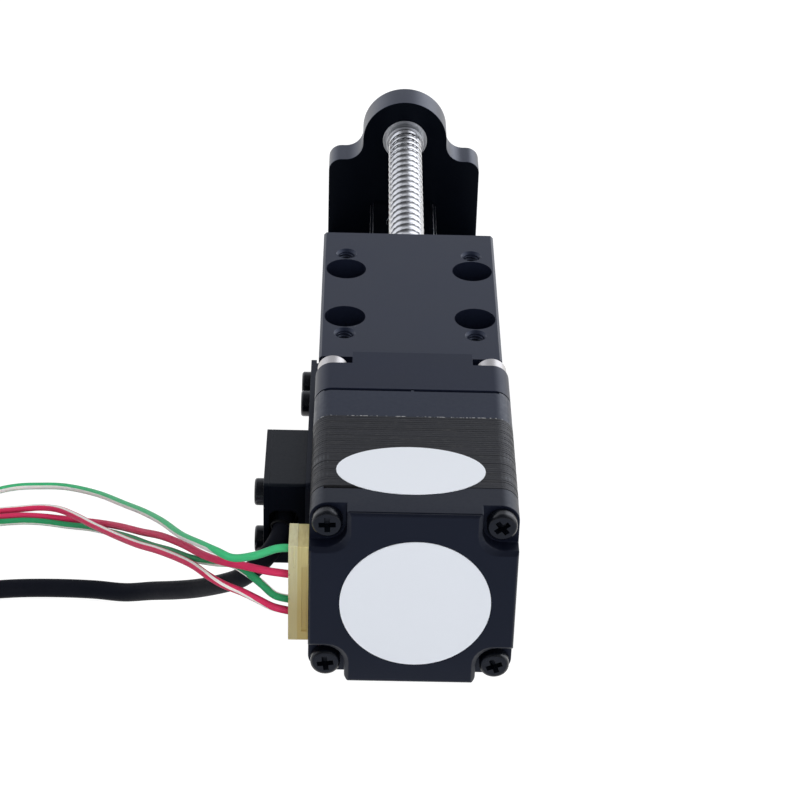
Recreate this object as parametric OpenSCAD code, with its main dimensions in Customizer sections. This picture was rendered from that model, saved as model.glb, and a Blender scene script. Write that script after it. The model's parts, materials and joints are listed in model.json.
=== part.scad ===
// Compact ball screw linear module: a stepper motor turns a 6 mm ball screw with a 2 mm
// lead, which moves a carriage along a 12 mm guide rail.
// +Y runs from the motor towards the end plate, +Z is up. The origin is the centre of the
// underside of the base plate.

/* [Base plate] */
// Width of the base plate
base_w = 27.5; // [26:0.5:28]
// Length of the base plate
base_l = 108; // [84:1:260]
// Thickness of the base plate
base_h = 6; // [5.5:0.5:9]

/* [Guide] */
// Width of the rail
rail_w = 12; // [11.6:0.1:12.4]
// Height of the rail
rail_h = 8; // [7.6:0.1:8.4]
// Spacing of the rail's screw holes
rail_pitch = 25; // [18:0.5:40]
// Width of the guide block
block_w = 27; // [25:0.25:27]
// Length of the guide block over its end caps
block_l = 34.7; // [32:0.1:37]
// Height of the guide block and rail together
guide_h = 13; // [12.8:0.1:14]
// Gap under the guide block
block_lift = 3; // [2.6:0.1:3.4]
// Diameter of the balls in the guide block
guide_ball_d = 2; // [1.8:0.1:2]

/* [Screw and nut] */
// Diameter of the ball screw
screw_d = 6; // [5.8:0.1:6.2]
// Travel of the nut in one turn of the screw
lead = 2; // [1.8:0.1:3]
// Depth of the ball track in the screw
track_depth = 0.45; // [0.3:0.05:0.5]
// Diameter of the screw's two journals
journal_d = 4; // [3.6:0.1:4]
// Outer diameter of the ball nut
nut_d = 12; // [11.4:0.1:12]
// Length of the ball nut
nut_l = 20; // [15:0.5:28]

/* [Carriage] */
// Width of the carriage
car_w = 27.5; // [26.5:0.25:28]
// Length of the carriage
car_l = 39; // [36:0.5:50]
// Thickness of the carriage above the nut
car_roof = 2; // [2:0.25:4]
// Thickness of the carriage below the nut
car_floor = 1.5; // [1.2:0.1:2.5]
// Spacing across of the screws that hold the guide block
block_screw_x = 20; // [19.6:0.1:20.4]
// Spacing along of the screws that hold the guide block
block_screw_y = 15; // [13:0.5:17]
// Spacing across of the tapped holes on top
table_x = 20; // [18:0.5:21]
// Spacing along of the tapped holes on top
table_y = 25; // [23.5:0.5:30]
// Gap between the carriage and the motor mount at rest
rest_gap = 1.4; // [0.5:0.1:3]

/* [Motor] */
// Width and height of the motor
motor_w = 28; // [27:0.25:30]
// Length of the rear cap
rear_l = 6.7; // [6.2:0.1:10]
// Length of the laminated stack
stack_l = 17.4; // [16:0.2:40]
// Length of the front cap
front_l = 7.3; // [6.6:0.1:10]
// Spacing of the motor's screws, both ways
motor_screw = 23; // [22.5:0.1:23.5]
// Diameter of the motor shaft
shaft_d = 5; // [4.6:0.1:5]
// Diameter of the rotor
rotor_d = 14; // [12:0.2:14]
// Depth of the pockets in the rear cap's corners
pocket_h = 2.6; // [2:0.1:3]

/* [Motor mount and end plate] */
// Thickness of the mount's flange
flange_t = 6.9; // [6:0.1:10]
// Length of the mount's top block beyond the flange
top_block_l = 3.1; // [2.8:0.1:5]
// Length of the mount's body beyond the flange
body_l = 10.2; // [9.8:0.1:14]
// Width of the mount between the screw notches
waist_w = 17.4; // [17:0.1:18]
// Thickness of the end plate
end_t = 6; // [5:0.25:10]
// Radius of the end plate's dome
dome_r = 7.6; // [7:0.1:8.4]
// Height of the end plate's shoulders above the base plate's underside
shoulder_z = 22.5; // [20:0.25:24]

/* [Labels] */
// Diameter of the round label on the motor's back
rear_label_d = 20.4; // [16:0.2:22]
// Width of the oval label on the motor's top
top_label_w = 20.2; // [14:0.2:22]
// Length of the oval label on the motor's top
top_label_l = 11.4; // [8:0.2:12]
// Thickness of both labels
label_t = 0.1; // [0.05:0.05:0.3]

/* [Side plate and cable box] */
// Thickness of the side plate
plate_t = 0.8; // [0.6:0.1:1.2]
// Height of the side plate
plate_h = 13.4; // [12.8:0.2:14]
// Thickness of the cable box, its cover included
box_t = 5.8; // [5.4:0.1:7]
// Length of the cable box
box_l = 14.4; // [13:0.2:18]
// Thickness of the box's cover
cover_t = 0.8; // [0.6:0.1:1.2]

/* [Leads and cable] */
// Spacing of the connector's pins
pin_pitch = 2; // [1.9:0.05:2]
// Diameter of each lead
lead_d = 1.1; // [1:0.05:1.15]
// Diameter of the sensor cable
cable_d = 2.8; // [2.6:0.1:3]

/* [Hidden] */

$fn = 48;

// Radial gap of a fixed seat, of a running fit, and between a moving piece and a still one
fit = 0.02;
run = 0.04;
clear = 0.2;

// Heights
rail_top = base_h + rail_h;
block_low = base_h + block_lift;
block_top = base_h + guide_h;
axis_z = block_top + car_floor + nut_d / 2;
car_top = axis_z + nut_d / 2 + car_roof;
motor_low = axis_z - motor_w / 2;
motor_top = axis_z + motor_w / 2;
notch_low = axis_z - waist_w / 2;
body_top = car_top - 0.4;

// Places along Y
y_rear = -base_l / 2;
y_end = base_l / 2;
y_flange = y_rear + flange_t;
y_top_block = y_flange + top_block_l;
y_mount = y_flange + body_l;
y_car = y_mount + rest_gap;
y_car_mid = y_car + car_l / 2;
y_stack = y_rear - front_l;
y_rear_cap = y_stack - stack_l;
y_back = y_rear_cap - rear_l;

// Machine screws: [shank, head, head height, socket] across each
m2 = [2, 3.8, 1.3, 0];
m25 = [2.5, 4.5, 2.5, 2];
m3 = [3, 5.5, 3, 2.5];
tap_m3 = 2.5;
set_d = 2.5;

// Bearings: [bore, outer diameter, width, ball, number of balls]
small_bearing = [journal_d, journal_d + 4, 3, 1, 9];
motor_bearing = [shaft_d, shaft_d + 6, 4, 1.6, 8];
shield_t = 0.35;

// The thrust bearings sit against a lip at the mount's far end
lip_t = 1;
y_lip = y_mount - lip_t;
y_thrust = y_lip - 2 * small_bearing[2];
pilot_d = 22;
pilot_h = 1.5;
coupling_d = 12;
coupling_bore = 14;
y_coupling = [y_rear + pilot_h + 0.3, y_thrust - 0.2];
y_joint = (y_coupling[0] + y_coupling[1]) / 2;
set_ys = [(y_coupling[0] + y_joint) / 2, (y_joint + y_coupling[1]) / 2];
coupling_gap = 0.4;

// Motor inside
cavity_d = 22.6;
cavity_h = 2.8;
hub_d = motor_bearing[1] + 2.6;
y_front_bearing = y_rear - 0.1 - motor_bearing[2];
y_rear_bearing = y_back + 1.9;
washer_t = 0.4;
coil_over = 1.5;
pole_w = 3.2;
pole_shoe = 1.2;

// Rear cap corners
pocket_x = 5.6;
pocket_z = 6.4;
pocket_r = 3;
pocket_rim = 0.6;
corner_r = 2.5;

// Screw thread
thread_steps = 12;
track = [[0.20, 0], [0.37, 1], [0.63, 1], [0.80, 0]];
land_r = screw_d / 2 - 0.02;
spacer_d = screw_d + 0.75;
spacer_t = 1.2;
y_thread_end = y_end - spacer_t - 0.2;
run_out = 1.2 * lead;
turns = floor((y_thread_end - y_lip - 1.2 * run_out) / lead);
y_helix = y_lip + 0.6 * run_out;
nut_ball_d = 0.8;
nut_turns = 2.5;
nut_lead_in = 1;
y_nut = y_car + nut_lead_in;
wiper_t = 1;

// Guide
ball_x = rail_w / 2 + 0.175 * guide_ball_d;
ball_z = rail_top - 3.2;
cap_l = 6.5;
seal_t = 0.6;
rail_l = y_end - y_mount - 2 * 0.5;
rail_holes = floor((rail_l - 8) / rail_pitch) + 1;
rail_first = y_mount + 0.5 + (rail_l - (rail_holes - 1) * rail_pitch) / 2;
rail_ys = [for (i = [0:rail_holes - 1]) rail_first + i * rail_pitch];
rail_bore = [3.5, 6, 4.5];
rail_screw_deep = 4.5;

// Carriage
car_seat = block_top + 3.2;
counterbore_d = 6.3;
tap_deep = 6;
tap_chamfer = 0.4;
edge = 0.4;

// Mount and end plate screws
foot_screw_x = 20;
foot_ys = [y_rear + 3.6, y_mount - 3.6];
foot_sink = 3.2;
foot_deep = 5;
end_screw_x = 18;
end_screw_deep = 5.5;
base_mount_x = 20;
base_mount_y = 60;
base_tap_deep = 4.5;
tap_gap = 0.5;

// Side plate and cable box, on the motor's left
side_x = -motor_w / 2;
plate_x = side_x - plate_t;
box_x = plate_x - box_t;
plate_top = car_top + 0.5;
plate_low = plate_top - plate_h;
side_screw_z = body_top - 1.9;
side_ys = [y_mount - 8.3, y_mount - 3];
y_box = y_back + 14.6;
box_wall = 1;
recess_deep = 4;
recess_r = 1.2;
gland_x = side_x - 3.8;
gland_z = axis_z + 1.5;
gland_d = cable_d + 1.2;
cover_zs = [gland_z - 4, gland_z + 4];
y_cover_screws = y_box + 2.7;

// Connector on the motor's left
pins = 6;
y_header = y_back + 0.5;
header_w = 5.4;
header_t = 1.6;
plug_t = 1.3;
header_h = (pins - 1) * pin_pitch + 5.6;
pin_zs = [for (i = [0:pins - 1]) axis_z + 0.5 + (i - (pins - 1) / 2) * pin_pitch];
pin_y = y_header + header_w / 2;
socket_deep = 0.6;

// Routes of the leads and the sensor cable, from the plug and the gland to their coils
green_white_route = [
    [-16.3, -82.2, 32], [-19.4, -82.2, 31.9], [-22, -82, 31.2], [-24.4, -81.3, 30.6],
    [-26.6, -79.6, 30], [-29, -75.8, 28.4], [-32.2, -69, 25], [-35.6, -59.6, 20.6],
    [-39.2, -50, 15.6], [-43.2, -40.6, 10.5], [-47.4, -32, 6.1], [-51.4, -26, 3],
    [-55, -22.7, 1.3], [-58.4, -21.8, 0.7], [-62, -22, 0.6], [-65.4, -23.3, 0.6],
    [-69, -25.8, 0.7], [-72.6, -28.2, 1.3], [-76, -29.6, 1.9]
];
red_route = [
    [-16.3, -82.2, 28], [-19.6, -81.8, 28.3], [-23, -80.4, 28.4], [-26, -78.1, 27.6],
    [-28.9, -73.7, 25.4], [-32, -67, 22], [-35.8, -58.8, 17.5], [-39.6, -50.6, 12.4],
    [-43.4, -42.6, 7.6], [-47.2, -36.2, 3.7], [-50.8, -32.4, 1.4], [-54.2, -30.9, 0.7],
    [-57.6, -30.3, 0.6], [-61, -30.2, 0.6], [-64.4, -30.7, 0.6], [-69, -30.9, 1.1],
    [-73.5, -31, 1.8], [-78, -30.9, 2.1]
];
green_route = [
    [-16.3, -82.2, 24], [-18.6, -82.1, 24.6], [-20.4, -81.5, 26], [-22.4, -80.2, 26.9],
    [-24.6, -78, 26.7], [-27.4, -74.9, 24.7], [-30.8, -70.2, 21.9], [-34.2, -63.8, 18.5],
    [-37.7, -56.8, 14.4], [-41.3, -48.8, 9.9], [-45, -41.4, 5.6], [-49, -35.8, 2.5],
    [-53, -32.8, 0.8], [-56.6, -31.8, 0.6], [-60, -31.6, 0.6], [-64, -32.1, 0.6],
    [-69, -32.2, 0.6], [-73.5, -31.8, 0.6], [-78, -31, 0.8]
];
red_white_route = [
    [-16.3, -82.2, 22], [-18.8, -82.1, 22.6], [-20.8, -81.9, 23.6], [-23, -81.4, 24.5],
    [-25.6, -80.2, 25], [-27.9, -77.8, 24.8], [-30.2, -73.8, 23.8], [-33, -68.6, 21.5],
    [-36.2, -62.8, 18.6], [-39.6, -56.6, 15.2], [-43.4, -49.4, 11.4], [-47.6, -42, 7.8],
    [-51.4, -35.8, 4.8], [-54.6, -31, 2.6], [-57.8, -28.6, 1.2], [-61.2, -28.3, 0.6],
    [-64.6, -28.9, 0.6], [-69, -29.6, 0.6], [-73, -29.9, 0.6], [-76, -29.8, 0.7]
];
cable_route = [
    [-17.8, -66.6, 28], [-17.8, -68.6, 28], [-17.9, -70.6, 27.8], [-18.6, -72.4, 26.7],
    [-20, -73.4, 24.9], [-21.8, -73.3, 22.6], [-23.8, -71.8, 19.8], [-26.6, -68.6, 16],
    [-30.2, -63.8, 11.4], [-33.8, -59.8, 7.9], [-37.8, -55.8, 4.9], [-42.2, -52.8, 2.8],
    [-47, -50.9, 1.8], [-52.4, -50.3, 1.5], [-58, -50.5, 1.5], [-64, -51.2, 1.5],
    [-69, -51.4, 1.6], [-73.4, -51.4, 1.7]
];
lead_coil_at = [-84.5, -15];
lead_coil_r = [6.4, 16.2];
lead_coil_z = [0.3, 2.7];
cable_coil_at = [-84, -70];
cable_coil_r = [11, 20];
cable_coil_z = [0.3, 6.3];
tie_w = 4;
tie_t = 0.3;

// ---- helpers ----------------------------------------------------------------

// A 2D shape drawn in X and Z, swept along Y from y0 to y1
module along_y(y0, y1) {
    translate([0, y1, 0]) rotate([90, 0, 0]) linear_extrude(y1 - y0) children();
}

// A 2D shape drawn in Y and Z, swept along X from x0 to x1
module along_x(x0, x1) {
    translate([x0, 0, 0]) rotate([90, 0, 90]) linear_extrude(x1 - x0) children();
}

// A round bar on the screw's axis
module rod(y0, y1, d) {
    translate([0, y0, axis_z]) rotate([-90, 0, 0]) cylinder(d = d, h = y1 - y0);
}

// A ring on the screw's axis
module ring(y0, y1, d_out, d_in) {
    difference() {
        rod(y0, y1, d_out);
        rod(y0 - 1, y1 + 1, d_in);
    }
}

// A rectangle with round corners, centred
module rounded(w, h, r) {
    square([w - 2 * r, h], center = true);
    square([w, h - 2 * r], center = true);
    for (p = corners(w - 2 * r, h - 2 * r)) translate(p) circle(r);
}

// A rectangle with chamfered corners, standing on the line z = 0
module chamfered(w, h, c) {
    polygon([
        [-w / 2 + c, 0], [w / 2 - c, 0], [w / 2, c], [w / 2, h - c],
        [w / 2 - c, h], [-w / 2 + c, h], [-w / 2, h - c], [-w / 2, c]
    ]);
}

// The piece that fills an inside corner with a fillet; the corner is at the origin
module fillet(r) {
    difference() {
        square(r);
        translate([r, r]) circle(r);
    }
}

function corners(w, h) = [for (x = [-w / 2, w / 2], y = [-h / 2, h / 2]) [x, y]];

// A socket cap screw with its head's underside at the origin and its shank along -Z
module cap_screw(size, l) {
    difference() {
        union() {
            translate([0, 0, -l]) cylinder(d = size[0], h = l);
            cylinder(d = size[1], h = size[2] - 0.3);
            translate([0, 0, size[2] - 0.3])
                cylinder(d1 = size[1], d2 = size[1] - 0.6, h = 0.3);
        }
        translate([0, 0, size[2] * 0.4])
            cylinder(d = size[3] * 1.155, h = size[2], $fn = 6);
    }
}

// A pan head screw with a cross recess, its head's underside at the origin
module pan_screw(size, l) {
    difference() {
        union() {
            translate([0, 0, -l]) cylinder(d = size[0], h = l);
            pan_head(size[1], size[2]);
        }
        for (turn = [0, 90])
            rotate(turn) translate([-0.22 * size[1], -0.2, size[2] * 0.45])
                cube([0.44 * size[1], 0.4, size[2]]);
    }
}

// The head's side is straight for a third of its height, then domed
module pan_head(d, h) {
    rim = h / 3;
    dome = h - rim;
    r = (d * d / 4 + dome * dome) / (2 * dome);
    rotate_extrude()
        intersection() {
            square([d / 2, h]);
            union() {
                square([d / 2, rim]);
                translate([0, h - r]) circle(r);
            }
        }
}

// A hexagon socket set screw along +Z from the origin
module set_screw(d, l) {
    difference() {
        cylinder(d = d, h = l);
        translate([0, 0, l * 0.45]) cylinder(d = d * 0.58, h = l, $fn = 6);
    }
}

// A hole for a screw's shank along -Z from the origin
module shank_hole(d, l) {
    translate([0, 0, -l]) cylinder(d = d + 2 * fit, h = l + 0.01);
}

// ---- bearings ----------------------------------------------------------------

function pitch_r(b) = (b[0] + b[1]) / 4;
function land_half(b) = 0.3 * b[3];

// The ball groove of a bearing, as a ring to take away
module groove(b, y0) {
    translate([0, y0 + b[2] / 2, axis_z]) rotate([90, 0, 0])
        rotate_extrude() translate([pitch_r(b), 0]) circle(b[3] / 2 + run);
}

module outer_race(b, y0) {
    difference() {
        union() {
            ring(y0, y0 + b[2], b[1] - 2 * fit, 2 * (pitch_r(b) + land_half(b)));
            ring(y0, y0 + shield_t, b[1] - 0.6, 2 * pitch_r(b) - b[3] * 0.2);
        }
        groove(b, y0);
    }
}

module inner_race(b, y0) {
    difference() {
        ring(y0, y0 + b[2], 2 * (pitch_r(b) - land_half(b)), b[0] + 2 * fit);
        groove(b, y0);
        ring(y0 - 0.1, y0 + shield_t + run, b[1], 2 * (pitch_r(b) - b[3] * 0.2));
    }
}

module race_balls(b, y0) {
    for (i = [0:b[4] - 1])
        translate([0, y0 + b[2] / 2, axis_z]) rotate([0, i * 360 / b[4], 0])
            translate([pitch_r(b), 0, 0]) sphere(d = b[3]);
}

// ---- base and guide ----------------------------------------------------------

module base_plate() color("#1d1f24")
    difference() {
        along_y(y_rear, y_end) chamfered(base_w, base_h, edge);
        for (y = rail_ys)
            translate([0, y, base_h]) shank_hole(m3[0], rail_screw_deep + 0.3);
        for (x = [-1, 1], y = foot_ys)
            translate([x * foot_screw_x / 2, y, 0]) {
                translate([0, 0, -1]) cylinder(d = m3[1] + 0.5, h = foot_sink + 1);
                cylinder(d = m3[0] + 0.4, h = base_h + 1);
            }
        for (x = [-1, 1])
            translate([x * end_screw_x / 2, y_end, base_h / 2])
                rotate([-90, 0, 0]) shank_hole(m25[0], end_screw_deep + 0.3);
        for (p = corners(base_mount_x, base_mount_y))
            translate([p[0], p[1], -1]) cylinder(d = tap_m3, h = base_tap_deep + 1);
    }

// Section of the rail, grown by g on its faces
module rail_section(g) {
    c = 0.5;
    w = rail_w / 2 + g;
    h = rail_top + g;
    polygon([
        [-w, base_h], [w, base_h], [w, h - c], [w - c, h], [-w + c, h], [-w, h - c]
    ]);
}

module ball_grooves() {
    for (side = [-1, 1])
        translate([side * ball_x, ball_z]) circle(guide_ball_d / 2 + run);
}

module guide_rail() color("#b9bdc2")
    difference() {
        along_y(y_mount + 0.5, y_end - 0.5)
            difference() {
                rail_section(0);
                ball_grooves();
            }
        for (y = rail_ys)
            translate([0, y, base_h - 1]) {
                cylinder(d = rail_bore[0], h = rail_h + 2);
                translate([0, 0, rail_h + 1 - rail_bore[2]])
                    cylinder(d = rail_bore[1], h = rail_bore[2] + 1);
            }
    }

module rail_screws() color("#2b2b2e")
    for (y = rail_ys)
        translate([0, y, rail_top - rail_bore[2]])
            cap_screw(m3, rail_h - rail_bore[2] + rail_screw_deep);

// Section of the block and its end caps, less the rail grown by g
module block_section(inset, g) {
    difference() {
        translate([0, block_low + inset])
            chamfered(block_w - 2 * inset, block_top - block_low - 2 * inset, 0.6);
        rail_section(g);
    }
}

module guide_block() color("#c2c5c9")
    difference() {
        along_y(y_car_mid - block_l / 2 + cap_l, y_car_mid + block_l / 2 - cap_l)
            difference() {
                block_section(0, clear);
                ball_grooves();
            }
        for (p = corners(block_screw_x, block_screw_y))
            translate([p[0], y_car_mid + p[1], block_top]) shank_hole(m3[0], 4.3);
    }

module block_end_caps() color("#1f7a4d")
    for (side = [-1, 1])
        translate([0, y_car_mid, 0]) mirror([0, side < 0 ? 1 : 0, 0])
            along_y(block_l / 2 - cap_l, block_l / 2 - seal_t) block_section(0.3, clear + 0.1);

module block_end_seals() color("#202022")
    for (side = [-1, 1])
        translate([0, y_car_mid, 0]) mirror([0, side < 0 ? 1 : 0, 0])
            along_y(block_l / 2 - seal_t, block_l / 2) block_section(0.6, 0.12);

module guide_balls() color("#d8dadd")
    for (side = [-1, 1], i = [0:8])
        translate([side * ball_x, y_car_mid + (i - 4) * (guide_ball_d + 0.2), ball_z])
            sphere(d = guide_ball_d);

// ---- carriage and nut --------------------------------------------------------

module carriage() color("#2a2d33")
    difference() {
        translate([0, 0, block_top])
            along_y(y_car, y_car + car_l) chamfered(car_w, car_top - block_top, edge);
        rod(y_car - 1, y_nut + nut_l, nut_d + 2 * fit);
        rod(y_car, y_car + car_l + 1, screw_d + 2);
        for (p = corners(block_screw_x, block_screw_y))
            translate([p[0], y_car_mid + p[1], 0]) {
                translate([0, 0, block_top - 1]) cylinder(d = m3[0] + 0.4, h = 5);
                translate([0, 0, car_seat])
                    cylinder(d = counterbore_d, h = car_top - car_seat + 1);
            }
        for (p = corners(table_x, table_y))
            translate([p[0], y_car_mid + p[1], 0]) {
                translate([0, 0, car_top - tap_deep]) cylinder(d = tap_m3, h = tap_deep + 1);
                translate([0, 0, car_top - tap_chamfer])
                    cylinder(d1 = tap_m3, d2 = tap_m3 + 2 * tap_chamfer + 0.02,
                        h = tap_chamfer + 0.01);
            }
        for (y = nut_set_ys())
            translate([nut_d / 2 - 0.5, y, axis_z]) rotate([0, 90, 0])
                cylinder(d = set_d + 2 * fit, h = car_w / 2);
    }

function nut_set_ys() = [y_nut + nut_l * 0.3, y_nut + nut_l * 0.7];

module carriage_screws() color("#1a1a1c")
    for (p = corners(block_screw_x, block_screw_y))
        translate([p[0], y_car_mid + p[1], car_seat]) cap_screw(m3, car_seat - block_top + 4);

// The balls run in a chamber between the nut's two end lands
module ball_nut() color("#9a9da1")
    difference() {
        rod(y_nut, y_nut + nut_l, nut_d);
        rod(y_nut - 1, y_nut + nut_l + 1, screw_d + 2 * clear);
        rod(y_nut - 1, y_nut + wiper_t, screw_d + 3);
        rod(y_nut + nut_l - wiper_t, y_nut + nut_l + 1, screw_d + 3);
        ball_chamber();
    }

module ball_chamber() {
    half = (nut_turns + 0.6) * lead / 2;
    middle = y_nut + nut_l / 2;
    rod(middle - half, middle + half, 2 * (ball_track_r() + nut_ball_d / 2 + 0.08));
}

function ball_track_r() = land_r - track_depth + nut_ball_d / 2 + 0.06;

// The nut's balls lie in the screw's track
module nut_balls() color("#e2e4e6") {
    n = floor(nut_turns * 360 / 17);
    first = floor((y_nut + nut_l / 2 - y_helix) / lead - nut_turns / 2);
    translate([0, y_helix, axis_z]) rotate([-90, 0, 0])
        for (i = [0:n - 1])
            let (turn = first + i * 17 / 360)
            rotate(360 * turn)
                translate([ball_track_r(), 0, lead * (turn + 0.5)]) sphere(d = nut_ball_d);
}

module nut_wipers() color("#eceae2")
    for (y = [y_nut, y_nut + nut_l - wiper_t + fit])
        ring(y, y + wiper_t - fit, screw_d + 3 - 2 * fit, screw_d + 2 * run + 0.2);

module nut_set_screws() color("#1a1a1c")
    for (y = nut_set_ys())
        translate([nut_d / 2 + fit, y, axis_z]) rotate([0, 90, 0]) set_screw(set_d, 3);

// ---- screw, bearings and end plate --------------------------------------------

// A helical ball track along Z as one closed solid. Columns of points stand at equal
// turns of the screw, and each joins the next one a step further along the helix.
module helix(r) {
    n = thread_steps;
    last = n * turns;
    width = len(track);
    function at(k, rad, phase) =
        [rad * cos(360 * k / n), rad * sin(360 * k / n), lead * (k / n + phase)];
    body = [for (k = [0:last], p = [0:width - 1])
        at(k, r - track_depth * track[p][1], track[p][0])];
    tail = [for (k = [last + 1:last + n]) at(k, r, track[0][0])];
    low = [for (k = [0:n]) at(k, 0, track[0][0])];
    high = [for (k = [last:last + n]) at(k, 0, track[0][0])];
    tail_at = len(body);
    low_at = tail_at + n;
    high_at = low_at + n + 1;
    function v(k, p) = p == width ? v(k + n, 0)
        : k > last ? tail_at + k - last - 1
        : k * width + p;
    sides = [for (k = [0:last - 1], p = [0:width - 1])
        each [[v(k, p), v(k, p + 1), v(k + 1, p + 1)],
              [v(k, p), v(k + 1, p + 1), v(k + 1, p)]]];
    low_ramp = [for (k = [0:n - 1])
        each [[low_at + k, v(k, 0), v(k + 1, 0)],
              [low_at + k, v(k + 1, 0), low_at + k + 1]]];
    high_ramp = [for (k = [0:n - 1])
        each [[high_at + k, v(last + k + 1, 0), v(last + k, 0)],
              [high_at + k, high_at + k + 1, v(last + k + 1, 0)]]];
    low_wall = [for (p = [width:-1:0]) v(0, p), for (k = [0:n]) low_at + k];
    high_wall = [for (p = [0:width]) v(last, p), for (k = [n:-1:0]) high_at + k];
    polyhedron(concat(body, tail, low, high),
        concat(sides, low_ramp, high_ramp, [low_wall, high_wall]));
}

module ball_screw() color("#c9cbce") {
    translate([0, y_helix, axis_z]) rotate([-90, 0, 0]) helix(land_r);
    rod(y_lip + 0.4, y_helix + run_out, screw_d);
    rod(y_helix + turns * lead - 0.1, y_thread_end, screw_d);
    rod(y_joint + coupling_gap / 2, y_lip + 0.5, journal_d);
    rod(y_lip, y_lip + 0.5, journal_d + 1);
    rod(y_thread_end - 0.1, y_end + small_bearing[2] + 0.2, journal_d);
}

module end_spacer() color("#c9cbce")
    ring(y_thread_end + 0.05, y_end - 0.05, spacer_d, journal_d + 2 * fit);

module end_plate() color("#26292f")
    difference() {
        along_y(y_end, y_end + end_t) end_plate_outline();
        rod(y_end - 1, y_end + small_bearing[2] + fit, small_bearing[1]);
        rod(y_end - 1, y_end + small_bearing[2] + 1, small_bearing[1] - 1.6);
        for (x = [-1, 1])
            translate([x * end_screw_x / 2, y_end + end_t, base_h / 2])
                rotate([-90, 0, 0]) {
                    translate([0, 0, -end_t - 1]) cylinder(d = m25[0] + 0.2, h = end_t + 2);
                    translate([0, 0, -m25[2] - 0.2]) cylinder(d = m25[1] + 0.4, h = end_t);
                }
    }

module end_plate_outline() {
    neck_r = 3.2;
    shoulder_r = 2.3;
    translate([0, axis_z]) circle(dome_r);
    translate([-dome_r, 0]) square([2 * dome_r, axis_z]);
    translate([-base_w / 2, 0]) square([base_w, shoulder_z - shoulder_r]);
    translate([-base_w / 2 + shoulder_r, 0]) square([base_w - 2 * shoulder_r, shoulder_z]);
    for (side = [-1, 1]) {
        translate([side * (base_w / 2 - shoulder_r), shoulder_z - shoulder_r])
            circle(shoulder_r);
        mirror([side < 0 ? 1 : 0, 0]) translate([dome_r, shoulder_z]) fillet(neck_r);
    }
}

module end_plate_screws() color("#1a1a1c")
    for (x = [-1, 1])
        translate([x * end_screw_x / 2, y_end + end_t - m25[2] - 0.2, base_h / 2])
            rotate([-90, 0, 0]) cap_screw(m25, end_t - m25[2] - 0.2 + end_screw_deep);

module end_bearing_outer() color("#8f9296") outer_race(small_bearing, y_end);
module end_bearing_inner() color("#c9cbce") inner_race(small_bearing, y_end);
module end_bearing_balls() color("#e2e4e6") race_balls(small_bearing, y_end);

module thrust_bearing_outer() color("#8f9296")
    for (i = [0, 1]) outer_race(small_bearing, y_thrust + i * small_bearing[2]);
module thrust_bearing_inner() color("#c9cbce")
    for (i = [0, 1]) inner_race(small_bearing, y_thrust + i * small_bearing[2]);
module thrust_bearing_balls() color("#e2e4e6")
    for (i = [0, 1]) race_balls(small_bearing, y_thrust + i * small_bearing[2]);

// ---- motor mount and coupling --------------------------------------------------

module motor_mount() color("#26292f")
    difference() {
        union() {
            along_y(y_rear, y_flange)
                translate([0, axis_z]) rounded(motor_w, motor_w, corner_r);
            along_y(y_rear, y_mount) mount_body();
            along_y(y_flange - 0.5, y_top_block) mount_waist();
        }
        rod(y_rear - 1, y_rear + pilot_h + 0.3, pilot_d + 0.1);
        rod(y_rear, y_thrust, coupling_bore);
        rod(y_thrust - 1, y_lip, small_bearing[1]);
        rod(y_lip - 1, y_mount + 1, screw_d + 1);
        for (p = corners(motor_screw, motor_screw))
            translate([p[0], y_flange + 1, axis_z + p[1]]) rotate([90, 0, 0])
                cylinder(d = m25[0] + 0.2, h = flange_t + 2);
        for (x = [-1, 1], y = foot_ys)
            translate([x * foot_screw_x / 2, y, base_h + foot_deep])
                shank_hole(m3[0], foot_deep + 1);
        for (y = side_ys)
            translate([side_x, y, side_screw_z]) rotate([0, -90, 0]) shank_hole(m2[0], 4.2);
        for (y = set_ys)
            translate([0, y, axis_z]) rotate([0, 90, 0]) cylinder(d = 3, h = motor_w);
    }

// Foot, narrow waist beside the lower screws, and the body up to the carriage's height
module mount_body() {
    translate([-base_w / 2, base_h]) square([base_w, motor_low - base_h]);
    translate([-waist_w / 2, base_h]) square([waist_w, body_top - base_h]);
    translate([-motor_w / 2, notch_low]) square([motor_w, body_top - notch_low]);
}

// The block between the upper screws, with a fillet in each notch's corner
module mount_waist() {
    top = axis_z + waist_w / 2;
    translate([-waist_w / 2, notch_low]) square([waist_w, motor_top - notch_low]);
    translate([-motor_w / 2, notch_low]) square([motor_w, top - notch_low]);
    for (side = [0, 1])
        mirror([side, 0]) translate([waist_w / 2, top]) fillet(1);
}

module mount_screws() color("#1a1a1c")
    for (x = [-1, 1], y = foot_ys)
        translate([x * foot_screw_x / 2, y, foot_sink]) rotate([180, 0, 0])
            cap_screw(m3, base_h - foot_sink + foot_deep - tap_gap);

module motor_screws() color("#cbc9cd")
    for (p = corners(motor_screw, motor_screw))
        translate([p[0], y_flange, axis_z + p[1]]) rotate([-90, 0, 0])
            cap_screw(m25, flange_t + 3.2);

module coupling() color("#a8abb0")
    difference() {
        rod(y_coupling[0], y_coupling[1], coupling_d);
        rod(y_coupling[0] - 1, y_joint, shaft_d + 2 * fit);
        rod(y_joint - 1, y_coupling[1] + 1, journal_d + 2 * fit);
        for (y = set_ys)
            translate([0, y, axis_z]) rotate([0, 90, 0])
                cylinder(d = set_d + 2 * fit, h = coupling_d);
    }

module coupling_set_screws() color("#1a1a1c")
    for (i = [0, 1])
        translate([(i == 0 ? shaft_d : journal_d) / 2 + 2 * fit, set_ys[i], axis_z])
            rotate([0, 90, 0]) set_screw(set_d, 3);

// ---- motor -----------------------------------------------------------------------

module motor_square() {
    translate([0, axis_z]) rounded(motor_w, motor_w, corner_r);
}

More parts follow.
